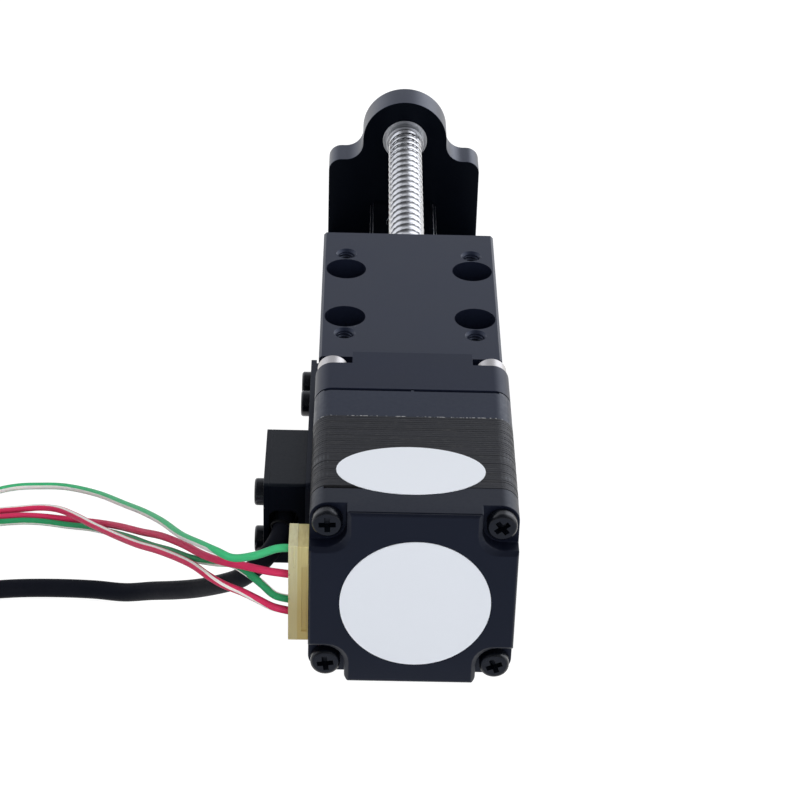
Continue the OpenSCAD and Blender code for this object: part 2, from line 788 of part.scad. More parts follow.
// Space for the windings' ends round the bearing's hub
module winding_space(y0, y1) {
    difference() {
        rod(y0, y1, cavity_d);
        rod(y0 - 1, y1 + 1, hub_d);
    }
}

module corner_holes(y0, y1, d) {
    for (p = corners(motor_screw, motor_screw))
        translate([p[0], y0, axis_z + p[1]]) rotate([-90, 0, 0]) cylinder(d = d, h = y1 - y0);
}

module motor_front_cap() color("#2f3238")
    difference() {
        union() {
            along_y(y_stack, y_rear) motor_square();
            rod(y_rear - 1, y_rear + pilot_h, pilot_d);
        }
        winding_space(y_stack - 1, y_stack + cavity_h);
        rod(y_stack - 1, y_front_bearing, motor_bearing[1] - 1.6);
        rod(y_front_bearing - 1, y_front_bearing + motor_bearing[2] + fit, motor_bearing[1]);
        rod(y_stack - 1, y_front_bearing + 0.1, motor_bearing[1]);
        rod(y_rear - 1, y_rear + pilot_h + 1, shaft_d + 1);
        corner_holes(y_rear - 3.8, y_rear + 1, m25[0] + 2 * fit);
        corner_holes(y_stack - 1, y_stack + 3, m2[0] + 2 * fit);
    }

module motor_stator() color("#3c3c40")
    difference() {
        along_y(y_rear_cap, y_stack)
            difference() {
                motor_square();
                translate([0, axis_z]) stator_slots();
            }
        corner_holes(y_rear_cap - 1, y_stack + 1, m2[0] + 0.3);
    }

// The slots between the eight poles, and the bore that the rotor turns in
module stator_slots() {
    difference() {
        circle(d = cavity_d + 0.4);
        for (i = [0:7])
            rotate(i * 45) translate([0, -pole_w / 2]) square([cavity_d / 2 + 1, pole_w]);
        difference() {
            circle(rotor_d / 2 + pole_shoe);
            for (i = [0:7])
                rotate(i * 45 + 22.5) translate([0, -0.7]) square([rotor_d, 1.4]);
        }
    }
    circle(rotor_d / 2 + 2 * run);
}

module motor_windings() color("#b06a35")
    for (i = [0:7])
        translate([0, 0, axis_z]) rotate([0, i * 45, 0])
            difference() {
                translate([rotor_d / 2 + pole_shoe + 0.3, y_rear_cap - coil_over, -2.6])
                    cube([2.4, stack_l + 2 * coil_over, 5.2]);
                translate([0, y_rear_cap - 0.02, -pole_w / 2 - fit])
                    cube([motor_w, stack_l + 0.04, pole_w + 2 * fit]);
            }

module motor_rear_cap() color("#303238")
    difference() {
        along_y(y_back, y_rear_cap) motor_square();
        for (sx = [0, 1], sz = [0, 1]) corner_pocket(sx, sz);
        winding_space(y_rear_cap - cavity_h, y_rear_cap + 1);
        rod(y_rear_bearing - washer_t, y_rear_cap + 1, motor_bearing[1]);
        rod(y_back + 0.9, y_rear_cap, shaft_d + 1);
        corner_holes(y_back - 1, y_rear_cap + 1, m2[0] + 0.3);
        translate([side_x - 1, pin_y - 1.6, axis_z - header_h / 2 + 2.5])
            cube([2.6, 3.2, header_h - 4]);
    }

// A pocket for a screw's head in one corner, open to both sides, with a sloped rim
module corner_pocket(sx, sz) {
    translate([0, 0, axis_z]) mirror([sx, 0, 0]) mirror([0, 0, sz])
        translate([motor_w / 2, y_back, motor_w / 2]) rotate([90, 0, 0])
            union() {
                translate([0, 0, -pocket_h]) linear_extrude(pocket_h + 1)
                    pocket_outline(0);
                hull() {
                    translate([0, 0, -pocket_rim]) linear_extrude(0.01)
                        pocket_outline(0, 24);
                    linear_extrude(0.01) pocket_outline(pocket_rim, 24);
                }
            }
}

module pocket_outline(grow, sides = 48) {
    x = pocket_x - pocket_rim + grow;
    z = pocket_z - pocket_rim + grow;
    translate([-x, -z + pocket_r]) square([x + 1, z - pocket_r + 1]);
    translate([-x + pocket_r, -z]) square([x - pocket_r + 1, z + 1]);
    translate([-x + pocket_r, -z + pocket_r]) circle(pocket_r, $fn = sides);
}

module rear_cap_screws() color("#1a1a1c")
    for (p = corners(motor_screw, motor_screw))
        translate([p[0], y_back + pocket_h, axis_z + p[1]]) rotate([90, 0, 0])
            pan_screw(m2, rear_l - pocket_h + stack_l + 2.6);

module motor_rotor() color("#7d8085") {
    cup = (stack_l - 2.4) / 2;
    middle = (y_rear_cap + y_stack) / 2;
    ring(middle - cup, middle - 0.6, rotor_d, shaft_d + 2 * fit);
    ring(middle + 0.6, middle + cup, rotor_d, shaft_d + 2 * fit);
    ring(middle - 0.6, middle + 0.6, rotor_d - 1, shaft_d + 2 * fit);
}

module motor_shaft() color("#c9cbce")
    rod(y_back + 1.2, y_joint - coupling_gap / 2, shaft_d);

module motor_bearing_outer() color("#8f9296") {
    outer_race(motor_bearing, y_front_bearing);
    outer_race(motor_bearing, y_rear_bearing);
}
module motor_bearing_inner() color("#c9cbce") {
    inner_race(motor_bearing, y_front_bearing);
    inner_race(motor_bearing, y_rear_bearing);
}
module motor_bearing_balls() color("#e2e4e6") {
    race_balls(motor_bearing, y_front_bearing);
    race_balls(motor_bearing, y_rear_bearing);
}

module wave_washer() color("#b5b8bc")
    ring(y_rear_bearing - washer_t, y_rear_bearing, motor_bearing[1] - 0.3,
        motor_bearing[1] - 2.6);

// ---- connector -------------------------------------------------------------------

module pin_header() color("#cfc894")
    difference() {
        translate([side_x - header_t, y_header, axis_z + 0.3 - header_h / 2])
            cube([header_t, header_w, header_h - 0.3]);
        translate([side_x - header_t - 1, y_header + 1, axis_z + 0.5 - header_h / 2 + 1])
            cube([header_t + 0.2, header_w - 2, header_h - 2]);
        for (z = pin_zs)
            translate([side_x - header_t, pin_y - 0.25 - fit, z - 0.25 - fit])
                cube([header_t + 1, 0.5 + 2 * fit, 0.5 + 2 * fit]);
    }

module header_pins() color("#c8b06a")
    for (z = pin_zs)
        translate([side_x - header_t + 0.1, pin_y - 0.25, z - 0.25])
            cube([header_t + 0.7, 0.5, 0.5]);

module lead_plug() color("#d6cf9c")
    difference() {
        union() {
            translate([side_x - header_t - plug_t, y_header, axis_z + 0.5 - header_h / 2])
                cube([plug_t, header_w, header_h]);
            translate([side_x - header_t, y_header + 1.1, axis_z + 1.6 - header_h / 2])
                cube([header_t - 0.9, header_w - 2.2, header_h - 2.2]);
        }
        for (z = pin_zs) {
            translate([side_x - header_t - plug_t - 1, pin_y - 0.7, z - 0.7])
                cube([socket_deep + 1, 1.4, 1.4]);
            translate([side_x - header_t - 0.2, pin_y - 0.27, z - 0.27])
                cube([header_t, 0.54, 0.54]);
        }
    }

// ---- side plate and cable box ------------------------------------------------------

module side_plate() color("#1b1c20")
    difference() {
        along_x(plate_x, side_x)
            translate([(y_box + y_mount) / 2, (plate_low + plate_top) / 2])
                rounded(y_mount - y_box, plate_h, 0.8);
        for (y = side_ys)
            translate([side_x, y, side_screw_z]) rotate([0, -90, 0])
                translate([0, 0, -1]) cylinder(d = m2[0] + 0.2, h = plate_t + 2);
    }

module side_plate_screws() color("#1a1a1c")
    for (y = side_ys)
        translate([plate_x, y, side_screw_z]) rotate([0, -90, 0]) pan_screw(m2, plate_t + 4);

module cable_box() color("#17181b")
    difference() {
        along_x(box_x + cover_t, plate_x)
            translate([y_box + box_l / 2, (plate_low + plate_top) / 2])
                rounded(box_l, plate_h, 0.5);
        translate([box_x, y_box + recess_deep + box_wall, plate_low + box_wall])
            cube([box_t - box_wall, box_l - recess_deep - 2 * box_wall, plate_h - 2 * box_wall]);
        cable_recess();
        translate([gland_x, y_box, gland_z]) rotate([-90, 0, 0])
            cylinder(d = gland_d - 0.8 + 2 * fit, h = recess_deep + box_wall + 1);
        for (z = cover_zs)
            translate([box_x + cover_t, y_cover_screws, z]) rotate([0, -90, 0])
                shank_hole(m2[0], 3.4);
    }

// The recess at the back that the cable leaves through
module cable_recess() {
    translate([gland_x, y_box + recess_deep, gland_z]) rotate([90, 0, 0])
        linear_extrude(recess_deep + 1) rounded(gland_d + 0.1, gland_d + 1.4, recess_r);
}

module cable_box_cover() color("#1b1c20")
    difference() {
        along_x(box_x, box_x + cover_t)
            translate([y_box + box_l / 2, (plate_low + plate_top) / 2])
                rounded(box_l, plate_h, 0.5);
        for (z = cover_zs)
            translate([box_x - 1, y_cover_screws, z]) rotate([0, 90, 0])
                cylinder(d = m2[0] + 0.2, h = cover_t + 2);
    }

module cover_screws() color("#1a1a1c")
    for (z = cover_zs)
        translate([box_x, y_cover_screws, z]) rotate([0, -90, 0]) pan_screw(m2, cover_t + 3.2);

module sensor_board() color("#1f6b3a")
    translate([plate_x - box_wall - 0.8, y_box + recess_deep + box_wall + 1, plate_low + 1.6])
        cube([0.8, box_l - recess_deep - 2 * box_wall - 2, plate_h - 3.2]);

// A moulded gland: its collar lies in the recess and its neck fills the wall's hole
module cable_grommet() color("#141517")
    difference() {
        union() {
            translate([gland_x, y_box + recess_deep - 0.8, gland_z]) rotate([-90, 0, 0])
                cylinder(d = gland_d, h = 0.8);
            translate([gland_x, y_box + recess_deep - 0.1, gland_z]) rotate([-90, 0, 0])
                cylinder(d = gland_d - 0.8, h = box_wall + 0.6);
        }
        translate([gland_x, y_box + recess_deep - 1, gland_z]) rotate([-90, 0, 0])
            cylinder(d = cable_d + 0.2, h = 1.2);
    }

// ---- labels ------------------------------------------------------------------------

module rear_label() color("#eef4fb")
    translate([0.4, y_back, axis_z - 0.5]) rotate([90, 0, 0])
        cylinder(d = rear_label_d, h = label_t);

module top_label() color("#e0e3ed")
    translate([-0.5, y_back + 10.5, motor_top])
        linear_extrude(label_t)
            polygon([for (a = [0:7.5:359])
                [top_label_w / 2 * cos(a), top_label_l / 2 * sin(a)]]);

// ---- leads and cable -----------------------------------------------------------------

function unit(v) = v / norm(v);

// A tube along a route's points, with one ring of corners at each point
module tube(route, d, sides = 8) {
    last = len(route) - 1;
    function heading(i) = unit(route[min(i + 1, last)] - route[max(i - 1, 0)]);
    across = [for (i = [0:last]) unit(cross(heading(i), [0.2, 0.1, 1]))];
    points = [for (i = [0:last], k = [0:sides - 1])
        let (a = 360 * k / sides, up = cross(across[i], heading(i)))
        route[i] + d / 2 * (cos(a) * across[i] + sin(a) * up)];
    sides_faces = [for (i = [0:last - 1], k = [0:sides - 1])
        let (a = i * sides + k, b = i * sides + (k + 1) % sides)
        each [[a, b, b + sides], [a, b + sides, a + sides]]];
    polyhedron(points, concat(sides_faces, [
        [for (k = [sides - 1:-1:0]) k],
        [for (k = [0:sides - 1]) last * sides + k]
    ]));
}

module coil(at, r, z) {
    translate([at[0], at[1], 0])
        rotate_extrude() translate([r[0], z[0]]) square([r[1] - r[0], z[1] - z[0]]);
}

// A band round one side of a coil; turn says where on the coil it sits
module tie(at, r, z, turn) {
    translate([at[0], at[1], 0]) rotate(turn)
        translate([0, tie_w / 2, 0]) rotate([90, 0, 0]) linear_extrude(tie_w)
            difference() {
                translate([r[0] - 2 * tie_t, z[0] - tie_t])
                    square([r[1] - r[0] + 4 * tie_t, z[1] - z[0] + 2 * tie_t]);
                translate([r[0] - tie_t, z[0]])
                    square([r[1] - r[0] + 2 * tie_t, z[1] - z[0]]);
            }
}

module lead_green_white() color("#3fae75") tube(green_white_route, lead_d);
module lead_red() color("#cd375f") tube(red_route, lead_d);
module lead_green() color("#2f9160") tube(green_route, lead_d);
module lead_red_white() color("#b8405f") tube(red_white_route, lead_d);
module lead_coil() color("#7d9a80") coil(lead_coil_at, lead_coil_r, lead_coil_z);
module lead_tie() color("#202022") tie(lead_coil_at, lead_coil_r, lead_coil_z, 150);
module sensor_cable() color("#1e2029") tube(cable_route, cable_d);
module cable_coil() color("#1e2029") coil(cable_coil_at, cable_coil_r, cable_coil_z);
module cable_tie() color("#3a3b40") tie(cable_coil_at, cable_coil_r, cable_coil_z, 200);

base_plate();
guide_rail();
rail_screws();
guide_block();
block_end_caps();
block_end_seals();
guide_balls();
carriage();
carriage_screws();
ball_nut();
nut_wipers();
nut_balls();
nut_set_screws();
ball_screw();
end_plate();
end_plate_screws();
end_bearing_outer();
end_bearing_inner();
end_bearing_balls();
motor_mount();
mount_screws();
thrust_bearing_outer();
thrust_bearing_inner();
thrust_bearing_balls();
end_spacer();
coupling();
coupling_set_screws();
motor_screws();
motor_front_cap();
motor_stator();
motor_windings();
motor_rear_cap();
motor_rotor();
motor_shaft();
motor_bearing_outer();
motor_bearing_inner();
motor_bearing_balls();
rear_cap_screws();
wave_washer();
pin_header();
header_pins();
lead_plug();
side_plate();
side_plate_screws();
cable_box();
cable_box_cover();
cover_screws();
sensor_board();
cable_grommet();
rear_label();
top_label();
lead_green_white();
lead_red();
lead_green();
lead_red_white();
lead_coil();
lead_tie();
sensor_cable();
cable_coil();
cable_tie();
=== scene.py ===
"""The looks of a compact ball screw linear module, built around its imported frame.

Each piece or group of like pieces has an operator, and main() calls them in order. The module
runs along +Y from its motor to its end plate, with +Z up, and everything is in metres.
"""

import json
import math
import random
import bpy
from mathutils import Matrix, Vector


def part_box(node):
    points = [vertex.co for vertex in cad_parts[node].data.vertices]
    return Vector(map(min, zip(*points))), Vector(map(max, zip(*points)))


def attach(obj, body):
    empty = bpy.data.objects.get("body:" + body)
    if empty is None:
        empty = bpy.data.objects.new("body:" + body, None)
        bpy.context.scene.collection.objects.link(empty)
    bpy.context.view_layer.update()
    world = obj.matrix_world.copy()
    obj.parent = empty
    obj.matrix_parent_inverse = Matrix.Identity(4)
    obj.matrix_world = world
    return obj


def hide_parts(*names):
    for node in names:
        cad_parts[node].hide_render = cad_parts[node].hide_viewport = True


bl_info = {
    "name": "Ball Screw Linear Module",
    "version": (1, 0, 0),
    "blender": (4, 5, 0),
    "location": "View3D > Sidebar > Linear Module",
    "description": "Dresses a ball screw linear module: finishes, screw, motor, leads and stage",
    "category": "Add Mesh",
}

import bmesh
import bpy
from bpy.props import FloatProperty, FloatVectorProperty, IntProperty, PointerProperty
from mathutils import Matrix, Vector

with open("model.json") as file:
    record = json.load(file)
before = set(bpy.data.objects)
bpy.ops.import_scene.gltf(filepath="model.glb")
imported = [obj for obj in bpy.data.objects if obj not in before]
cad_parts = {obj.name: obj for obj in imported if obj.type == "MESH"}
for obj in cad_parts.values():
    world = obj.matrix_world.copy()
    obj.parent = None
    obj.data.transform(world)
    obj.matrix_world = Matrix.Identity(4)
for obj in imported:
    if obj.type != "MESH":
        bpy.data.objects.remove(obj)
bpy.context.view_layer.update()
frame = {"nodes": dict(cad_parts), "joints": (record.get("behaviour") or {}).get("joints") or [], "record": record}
NODES = frame["nodes"]
JOINTS = {joint["name"]: joint for joint in frame["joints"]}
MOUNTS = {mount["name"]: mount for mount in frame["record"]["mounts"]}
MM = 0.001

# The screw's axis, from the joint that turns it, and the ends of the motor and its stack
AXIS_Z = JOINTS["screw_spin"]["pos_m"][2]
MOTOR_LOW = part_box("motor_rear_cap")[0]
STACK_LOW, STACK_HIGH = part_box("motor_stator")


# ---- settings ----------------------------------------------------------------------

COLOUR = {"subtype": "COLOR", "size": 3, "min": 0, "max": 1}
POWER = {"unit": "POWER", "min": 0, "max": 10}


class ModuleSizes(bpy.types.PropertyGroup):
    lead: FloatProperty(
        name="Lead",
        description="Travel of the nut in one turn of the screw",
        default=2 * MM, min=1 * MM, max=6 * MM, unit="LENGTH",
    )
    screw_d: FloatProperty(
        name="Screw Diameter",
        description="Diameter of the ball screw",
        default=6 * MM, min=4 * MM, max=10 * MM, unit="LENGTH",
    )
    track_depth: FloatProperty(
        name="Track Depth",
        description="Depth of the ball track in the screw",
        default=0.45 * MM, min=0.1 * MM, max=1 * MM, unit="LENGTH",
    )
    laminations: IntProperty(
        name="Laminations",
        description="Number of sheets in the motor's stack",
        default=35, min=10, max=60,
    )
    lead_length: FloatProperty(
        name="Motor Lead Length",
        description="Length of each of the motor's leads",
        default=0.3, min=0.2, max=0.6, unit="LENGTH",
    )
    lead_d: FloatProperty(
        name="Motor Lead Diameter",
        description="Diameter of each of the motor's leads",
        default=1.1 * MM, min=0.8 * MM, max=1.6 * MM, unit="LENGTH",
    )
    cable_length: FloatProperty(
        name="Sensor Cable Length",
        description="Length of the sensor cable",
        default=0.5, min=0.3, max=1.0, unit="LENGTH",
    )
    cable_d: FloatProperty(
        name="Sensor Cable Diameter",
        description="Diameter of the sensor cable",
        default=2.8 * MM, min=2 * MM, max=4 * MM, unit="LENGTH",
    )


class ModuleColours(bpy.types.PropertyGroup):
    anodise: FloatVectorProperty(
        name="Anodise",
        description="Colour of the black anodised plates",
        default=(0.008, 0.0105, 0.022), **COLOUR,
    )
    casting: FloatVectorProperty(
        name="Casting",
        description="Colour of the motor's cast caps",
        default=(0.003, 0.004, 0.010), **COLOUR,
    )
    ivory: FloatVectorProperty(
        name="Ivory",
        description="Colour of the connector's nylon",
        default=(0.53, 0.51, 0.32), **COLOUR,
    )
    header: FloatVectorProperty(
        name="Header Ivory",
        description="Colour of the pin header's nylon, which is yellower than the plug's",
        default=(0.49, 0.43, 0.20), **COLOUR,
    )
    film: FloatVectorProperty(
        name="Label Film",
        description="Colour of the bare labels",
        default=(0.84, 0.88, 0.95), **COLOUR,
    )
    red: FloatVectorProperty(
        name="Red Lead",
        description="Colour of the red leads",
        default=(0.66, 0.036, 0.12), **COLOUR,
    )
    green: FloatVectorProperty(
        name="Green Lead",
        description="Colour of the lower green lead",
        default=(0.03, 0.30, 0.12), **COLOUR,
    )
    bright_green: FloatVectorProperty(
        name="Bright Green Lead",
        description="Colour of the upper green lead, with the wide white stripe",
        default=(0.06, 0.5, 0.21), **COLOUR,
    )


class ModuleStage(bpy.types.PropertyGroup):
    floor: FloatVectorProperty(
        name="Floor",
        description="Colour of the floor",
        default=(0.86, 0.86, 0.87), **COLOUR,
    )
    top_power: FloatProperty(
        name="Top Light",
        description="Power of the soft light overhead",
        default=0.85, **POWER,
    )
    side_power: FloatProperty(
        name="Side Lights",
        description="Power of each soft light at the side",
        default=0.35, **POWER,
    )
    front_power: FloatProperty(
        name="Front Light",
        description="Power of the soft light beside the camera",
        default=2.15, **POWER,
    )


# ---- materials ----------------------------------------------------------------------

# Every material made here, by name; the frame brings plain ones under some of the same names
FINISHES = {}


class Wiring:
    """A node tree, and short ways to add nodes to it."""

    def __init__(self, tree):
        self.tree = tree

    def node(self, kind, inputs=None, **settings):
        made = self.tree.nodes.new(kind)
        for key, value in settings.items():
            setattr(made, key, value)
        for socket, value in (inputs or {}).items():
            self.put(made.inputs[socket], value)
        return made

    def put(self, socket, value):
        if isinstance(value, bpy.types.NodeSocket):
            self.tree.links.new(value, socket)
        else:
            socket.default_value = value

    def maths(self, operation, *values):
        return self.node("ShaderNodeMath", dict(enumerate(values)), operation=operation).outputs[0]

    def between(self, factor, low, high, start=0.0, end=1.0, curve="LINEAR"):
        """Runs from low to high while the factor runs from start to end."""
        ends = {"From Min": start, "From Max": end, "To Min": low, "To Max": high}
        made = self.node("ShaderNodeMapRange", {"Value": factor, **ends}, interpolation_type=curve)
        return made.outputs["Result"]

    def blend(self, factor, first, second):
        return self.node("ShaderNodeMix", {0: factor, 6: first, 7: second}, data_type="RGBA").outputs[2]


class Recipe(Wiring):
    """A material with its node tree, kept in FINISHES under its name."""

    def __init__(self, name):
        self.material = bpy.data.materials.new(name)
        FINISHES[name] = self.material
        self.material.use_nodes = True
        super().__init__(self.material.node_tree)
        self.shader = self.tree.nodes["Principled BSDF"]
        self.place = self.node("ShaderNodeTexCoord").outputs["Object"]

    def set(self, **values):
        for key, value in values.items():
            self.put(self.shader.inputs[key.replace("_", " ")], value)

    def noise(self, scale, detail, rough, stretch=None):
        place = self.place
        if stretch:
            place = self.node("ShaderNodeMapping", {"Vector": place, "Scale": stretch}).outputs["Vector"]
        inputs = {"Vector": place, "Scale": scale, "Detail": detail, "Roughness": rough}
        return self.node("ShaderNodeTexNoise", inputs).outputs["Fac"]

    def along(self, axis):
        return self.node("ShaderNodeSeparateXYZ", {"Vector": self.place}).outputs[axis]

    def tones(self, factor, colour, darkest, palest):
        return self.blend(factor, shade(colour, darkest), shade(colour, palest))

    def uneven(self, noise, low, high):
        """A roughness that follows a noise, most of which lies between 0.3 and 0.7."""
        return self.between(noise, low, high, 0.3, 0.7)

    def bump(self, height, distance, strength):
        inputs = {"Height": height, "Distance": distance, "Strength": strength}
        self.set(Normal=self.node("ShaderNodeBump", inputs).outputs["Normal"])


def shade(colour, factor=1.0):
    return (*[min(1.0, c * factor) for c in colour], 1.0)


def anodised(name, colour, grain=1.0, rough=0.34, index=1.47):
    """Bead-blasted aluminium under a satin black oxide, a little paler where it has been rubbed."""
    recipe = Recipe(name)
    blast = recipe.noise(9000, 2, 0.6)
    cloud = recipe.noise(90, 4, 0.55)
    rubbed = recipe.between(blast, 0, 0.5, 0.55, 0.75)
    recipe.set(
        Base_Color=recipe.blend(rubbed, recipe.tones(cloud, colour, 0.82, 1.2), shade(colour, 2)),
        Roughness=recipe.uneven(cloud, rough - 0.03, rough + 0.06),
        IOR=index,
        Specular_Tint=(0.72, 0.8, 1, 1),
    )
    recipe.bump(blast, 0.012 * MM * grain, 0.5)
    return recipe.material


def cast(name, colour, worn_y=None):
    """Die casting with a fine orange peel under satin black paint, which is rubbed off in
    specks along an edge at worn_y."""
    recipe = Recipe(name)
    peel = recipe.noise(1500, 4, 0.6)
    tone = recipe.tones(recipe.noise(120, 3, 0.5), colour, 0.8, 1.25)
    if worn_y:
        past = recipe.maths("SUBTRACT", recipe.along("Y"), worn_y)
        near = recipe.between(past, 1, 0, 0.04 * MM, 0.16 * MM)
        speck = recipe.between(recipe.noise(2600, 2, 0.5), 0, 1, 0.52, 0.6)
        tone = recipe.blend(recipe.maths("MULTIPLY", near, speck), tone, (0.55, 0.55, 0.56, 1))
    recipe.set(
        Base_Color=tone,
        Roughness=recipe.uneven(peel, 0.34, 0.46),
        IOR=1.4,
        Specular_Tint=(0.8, 0.88, 1, 1),
    )
    recipe.bump(peel, 0.02 * MM, 0.5)
    return recipe.material


def laminated(name):
    """Cut edges of electrical steel sheets under thin black paint, each sheet its own tone."""
    recipe = Recipe(name)
    sheets = recipe.noise(1, 3, 0.7, (30, 1900, 30))
    streaks = recipe.noise(1, 3, 0.6, (900, 3600, 900))
    dark, pale, bare = (0.004, 0.0045, 0.006, 1), (0.015, 0.0155, 0.02, 1), (0.08, 0.076, 0.073, 1)
    tone = recipe.blend(recipe.between(sheets, 0, 1, 0.35, 0.65), dark, pale)
    recipe.set(
        Base_Color=recipe.blend(recipe.between(streaks, 0, 0.35, 0.55, 0.75), tone, bare),
        Roughness=recipe.uneven(sheets, 0.36, 0.52),
        IOR=1.35,
    )
    recipe.bump(streaks, 0.012 * MM, 0.6)
    return recipe.material


def steel(name, colour, rough=0.2, brush=None, depth=0.0008):
    """Bare metal, with grinding marks along brush where it has them, depth in millimetres."""
    recipe = Recipe(name)
    marks = recipe.noise(6000, 3, 0.6, brush)
    recipe.set(
        Base_Color=recipe.tones(recipe.noise(200, 3, 0.5), colour, 0.9, 1.06),
        Metallic=1.0,
        Roughness=recipe.uneven(marks, rough * 0.8, rough * 1.3),
    )
    recipe.bump(marks, depth * MM, 0.4)
    return recipe.material


def black_oxide(name):
    """Black oxide over steel: dark and slightly oily."""
    recipe = Recipe(name)
    cloud = recipe.noise(900, 4, 0.6)
    recipe.set(
        Base_Color=recipe.blend(cloud, (0.001, 0.0015, 0.003, 1), (0.003, 0.004, 0.007, 1)),
        Roughness=recipe.uneven(cloud, 0.2, 0.3),
        IOR=1.48,
    )
    recipe.bump(cloud, 0.002 * MM, 0.4)
    return recipe.material


def moulded(name, colour, rough=0.42, index=1.45):
    """Moulded plastic or rubber with a fine texture."""
    recipe = Recipe(name)
    grain = recipe.noise(3500, 2, 0.5)
    recipe.set(
        Base_Color=recipe.tones(recipe.noise(260, 3, 0.5), colour, 0.88, 1.12),
        Roughness=recipe.uneven(grain, rough - 0.05, rough + 0.06),
        IOR=index,
    )
    recipe.bump(grain, 0.006 * MM, 0.5)
    return recipe.material


def nylon(name, colour):
    """Unfilled nylon that light sinks into, with faint flow lines, painted darker and browner lower down as
    painted shade and paler at the top as painted light.
    """
    recipe = Recipe(name)
    flow = recipe.noise(1, 3, 0.6, (2600, 600, 160))
    brown = shade([c * share for c, share in zip(colour, (0.82, 0.72, 0.58))])
    # Painted shade and light: brown and darker below 24 mm, paler than the nylon's own colour above 33 mm.
    height = recipe.between(recipe.along("Z"), 0, 1, 24 * MM, 33 * MM)
    tone = recipe.blend(height, brown, shade(colour, 1.2))
    recipe.set(
        Base_Color=recipe.blend(recipe.between(flow, 0, 0.45, 0.35, 0.65), tone, brown),
        Roughness=recipe.uneven(recipe.noise(3500, 2, 0.5), 0.34, 0.46),
        Subsurface_Weight=0.3,
        Subsurface_Radius=(1.0, 0.8, 0.4),
        Subsurface_Scale=0.4 * MM,
    )
    recipe.bump(flow, 0.01 * MM, 0.5)
    return recipe.material


def label_film(name, colour):
    """Plain matt film, with the faint texture of its coating."""
    recipe = Recipe(name)
    tooth = recipe.noise(5000, 2, 0.6)
    recipe.set(
        Base_Color=recipe.tones(recipe.noise(70, 2, 0.5), colour, 0.98, 1.01),
        Roughness=recipe.between(tooth, 0.48, 0.6),
    )
    recipe.bump(tooth, 0.004 * MM, 0.4)
    return recipe.material


def jacket(name):
    """The sensor cable's matt black jacket."""
    recipe = Recipe(name)
    grain = recipe.noise(1400, 4, 0.6)
    cloud = recipe.noise(180, 3, 0.5)
    recipe.set(
        Base_Color=recipe.blend(cloud, (0.004, 0.005, 0.009, 1), (0.009, 0.010, 0.015, 1)),
        Roughness=recipe.uneven(grain, 0.46, 0.56),
        IOR=1.12,
    )
    recipe.bump(grain, 0.02 * MM, 0.6)
    return recipe.material


def striped_lead(name, colour, stripe, width, turns):
    """A PVC lead. Its stripe lies at a share of the way round that changes from turns[0] to
    turns[1] between the distances turns[2] and turns[3] in millimetres from the plug."""
    recipe = Recipe(name)
    cloud = recipe.noise(500, 3, 0.5)
    tone = recipe.tones(cloud, colour, 0.88, 1.12)
    if stripe:
        uv = recipe.node("ShaderNodeUVMap", uv_map="along").outputs["UV"]
        spot = recipe.node("ShaderNodeSeparateXYZ", {"Vector": uv}).outputs
        middle = recipe.between(spot["X"], turns[0], turns[1], turns[2] * MM, turns[3] * MM)
        off = recipe.maths("SUBTRACT", spot["Y"], middle)
        off = recipe.maths("FRACT", recipe.maths("ADD", off, 0.5))
        away = recipe.maths("ABSOLUTE", recipe.maths("SUBTRACT", off, 0.5))
        ragged = recipe.maths("MULTIPLY", recipe.noise(2500, 3, 0.6), 0.03)
        mask = recipe.between(recipe.maths("ADD", away, ragged), 1, 0, width, width + 0.02)
        tone = recipe.blend(mask, tone, shade(stripe))
    recipe.set(
        Base_Color=tone,
        Roughness=recipe.between(cloud, 0.42, 0.52),
        IOR=1.22,
        Subsurface_Weight=0.1,
        Subsurface_Scale=0.3 * MM,
    )
    recipe.bump(recipe.noise(1800, 3, 0.5), 0.008 * MM, 0.5)
    return recipe.material


def paint(material, *nodes):
    """Gives CAD nodes one material on every face."""
    for node in nodes:
        materials = NODES[node].data.materials
        materials.clear()
        materials.append(material)


# ---- mesh helpers ---------------------------------------------------------------------


def ends(node):
    """A node's lowest and highest corners in millimetres."""
    return [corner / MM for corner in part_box(node)]


def deselect():
    if bpy.context.object and bpy.context.object.mode != "OBJECT":
        bpy.ops.object.mode_set(mode="OBJECT")
    bpy.ops.object.select_all(action="DESELECT")


def only(piece):
    deselect()
    piece.select_set(True)
    bpy.context.view_layer.objects.active = piece


def fixed(piece):
    """Puts a piece's place, turn and size in its mesh."""
    only(piece)
    bpy.ops.object.transform_apply(location=True, rotation=True, scale=True)
    return piece


def settle(piece, name, slot, *nodes, body="frame", finish=None):
    """Names a piece, fixes its place, hands it to its body in place of the nodes, and gives it
    the finish that is named like its slot or another one."""
    fixed(piece)
    piece.name = name
    piece.data.name = name
    piece.data.materials.clear()
    piece.data.materials.append(FINISHES[finish or slot])
    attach(piece, body)
    if nodes:
        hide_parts(*nodes)
    return piece


def paint_shaded_faces(piece, finish):
    """Gives the flat faces that look along -Y a darker finish of their own, which is painted shade on those faces.
    """
    piece.data.materials.append(FINISHES[finish])
    for side in piece.data.polygons:
        side.material_index = 1 if side.normal.y < -0.9 else 0


def ring_mesh(name, points, sides, closed=False):
    """A surface over rings of points, each with as many points as it has sides. Its ends are
    capped, or where it is closed its last ring meets its first."""
    rings = len(points) // sides
    faces = []
    for i in range(rings if closed else rings - 1):
        up = ((i + 1) % rings - i) * sides
        for k in range(sides):
            a, b = i * sides + k, i * sides + (k + 1) % sides
            faces.append((a, b, b + up, a + up))
    if not closed:
        faces += [tuple(range(sides)), tuple(range(len(points) - sides, len(points)))]
    data = bpy.data.meshes.new(name)
    data.from_pydata([tuple(p) for p in points], [], faces)
    piece = bpy.data.objects.new(name, data)
    bpy.context.scene.collection.objects.link(piece)
    edit(piece)
    bpy.ops.mesh.normals_make_consistent(inside=False)
    leave_edit()
    return piece


def smooth(piece, angle):
    only(piece)
    bpy.ops.object.shade_smooth_by_angle(angle=math.radians(angle))


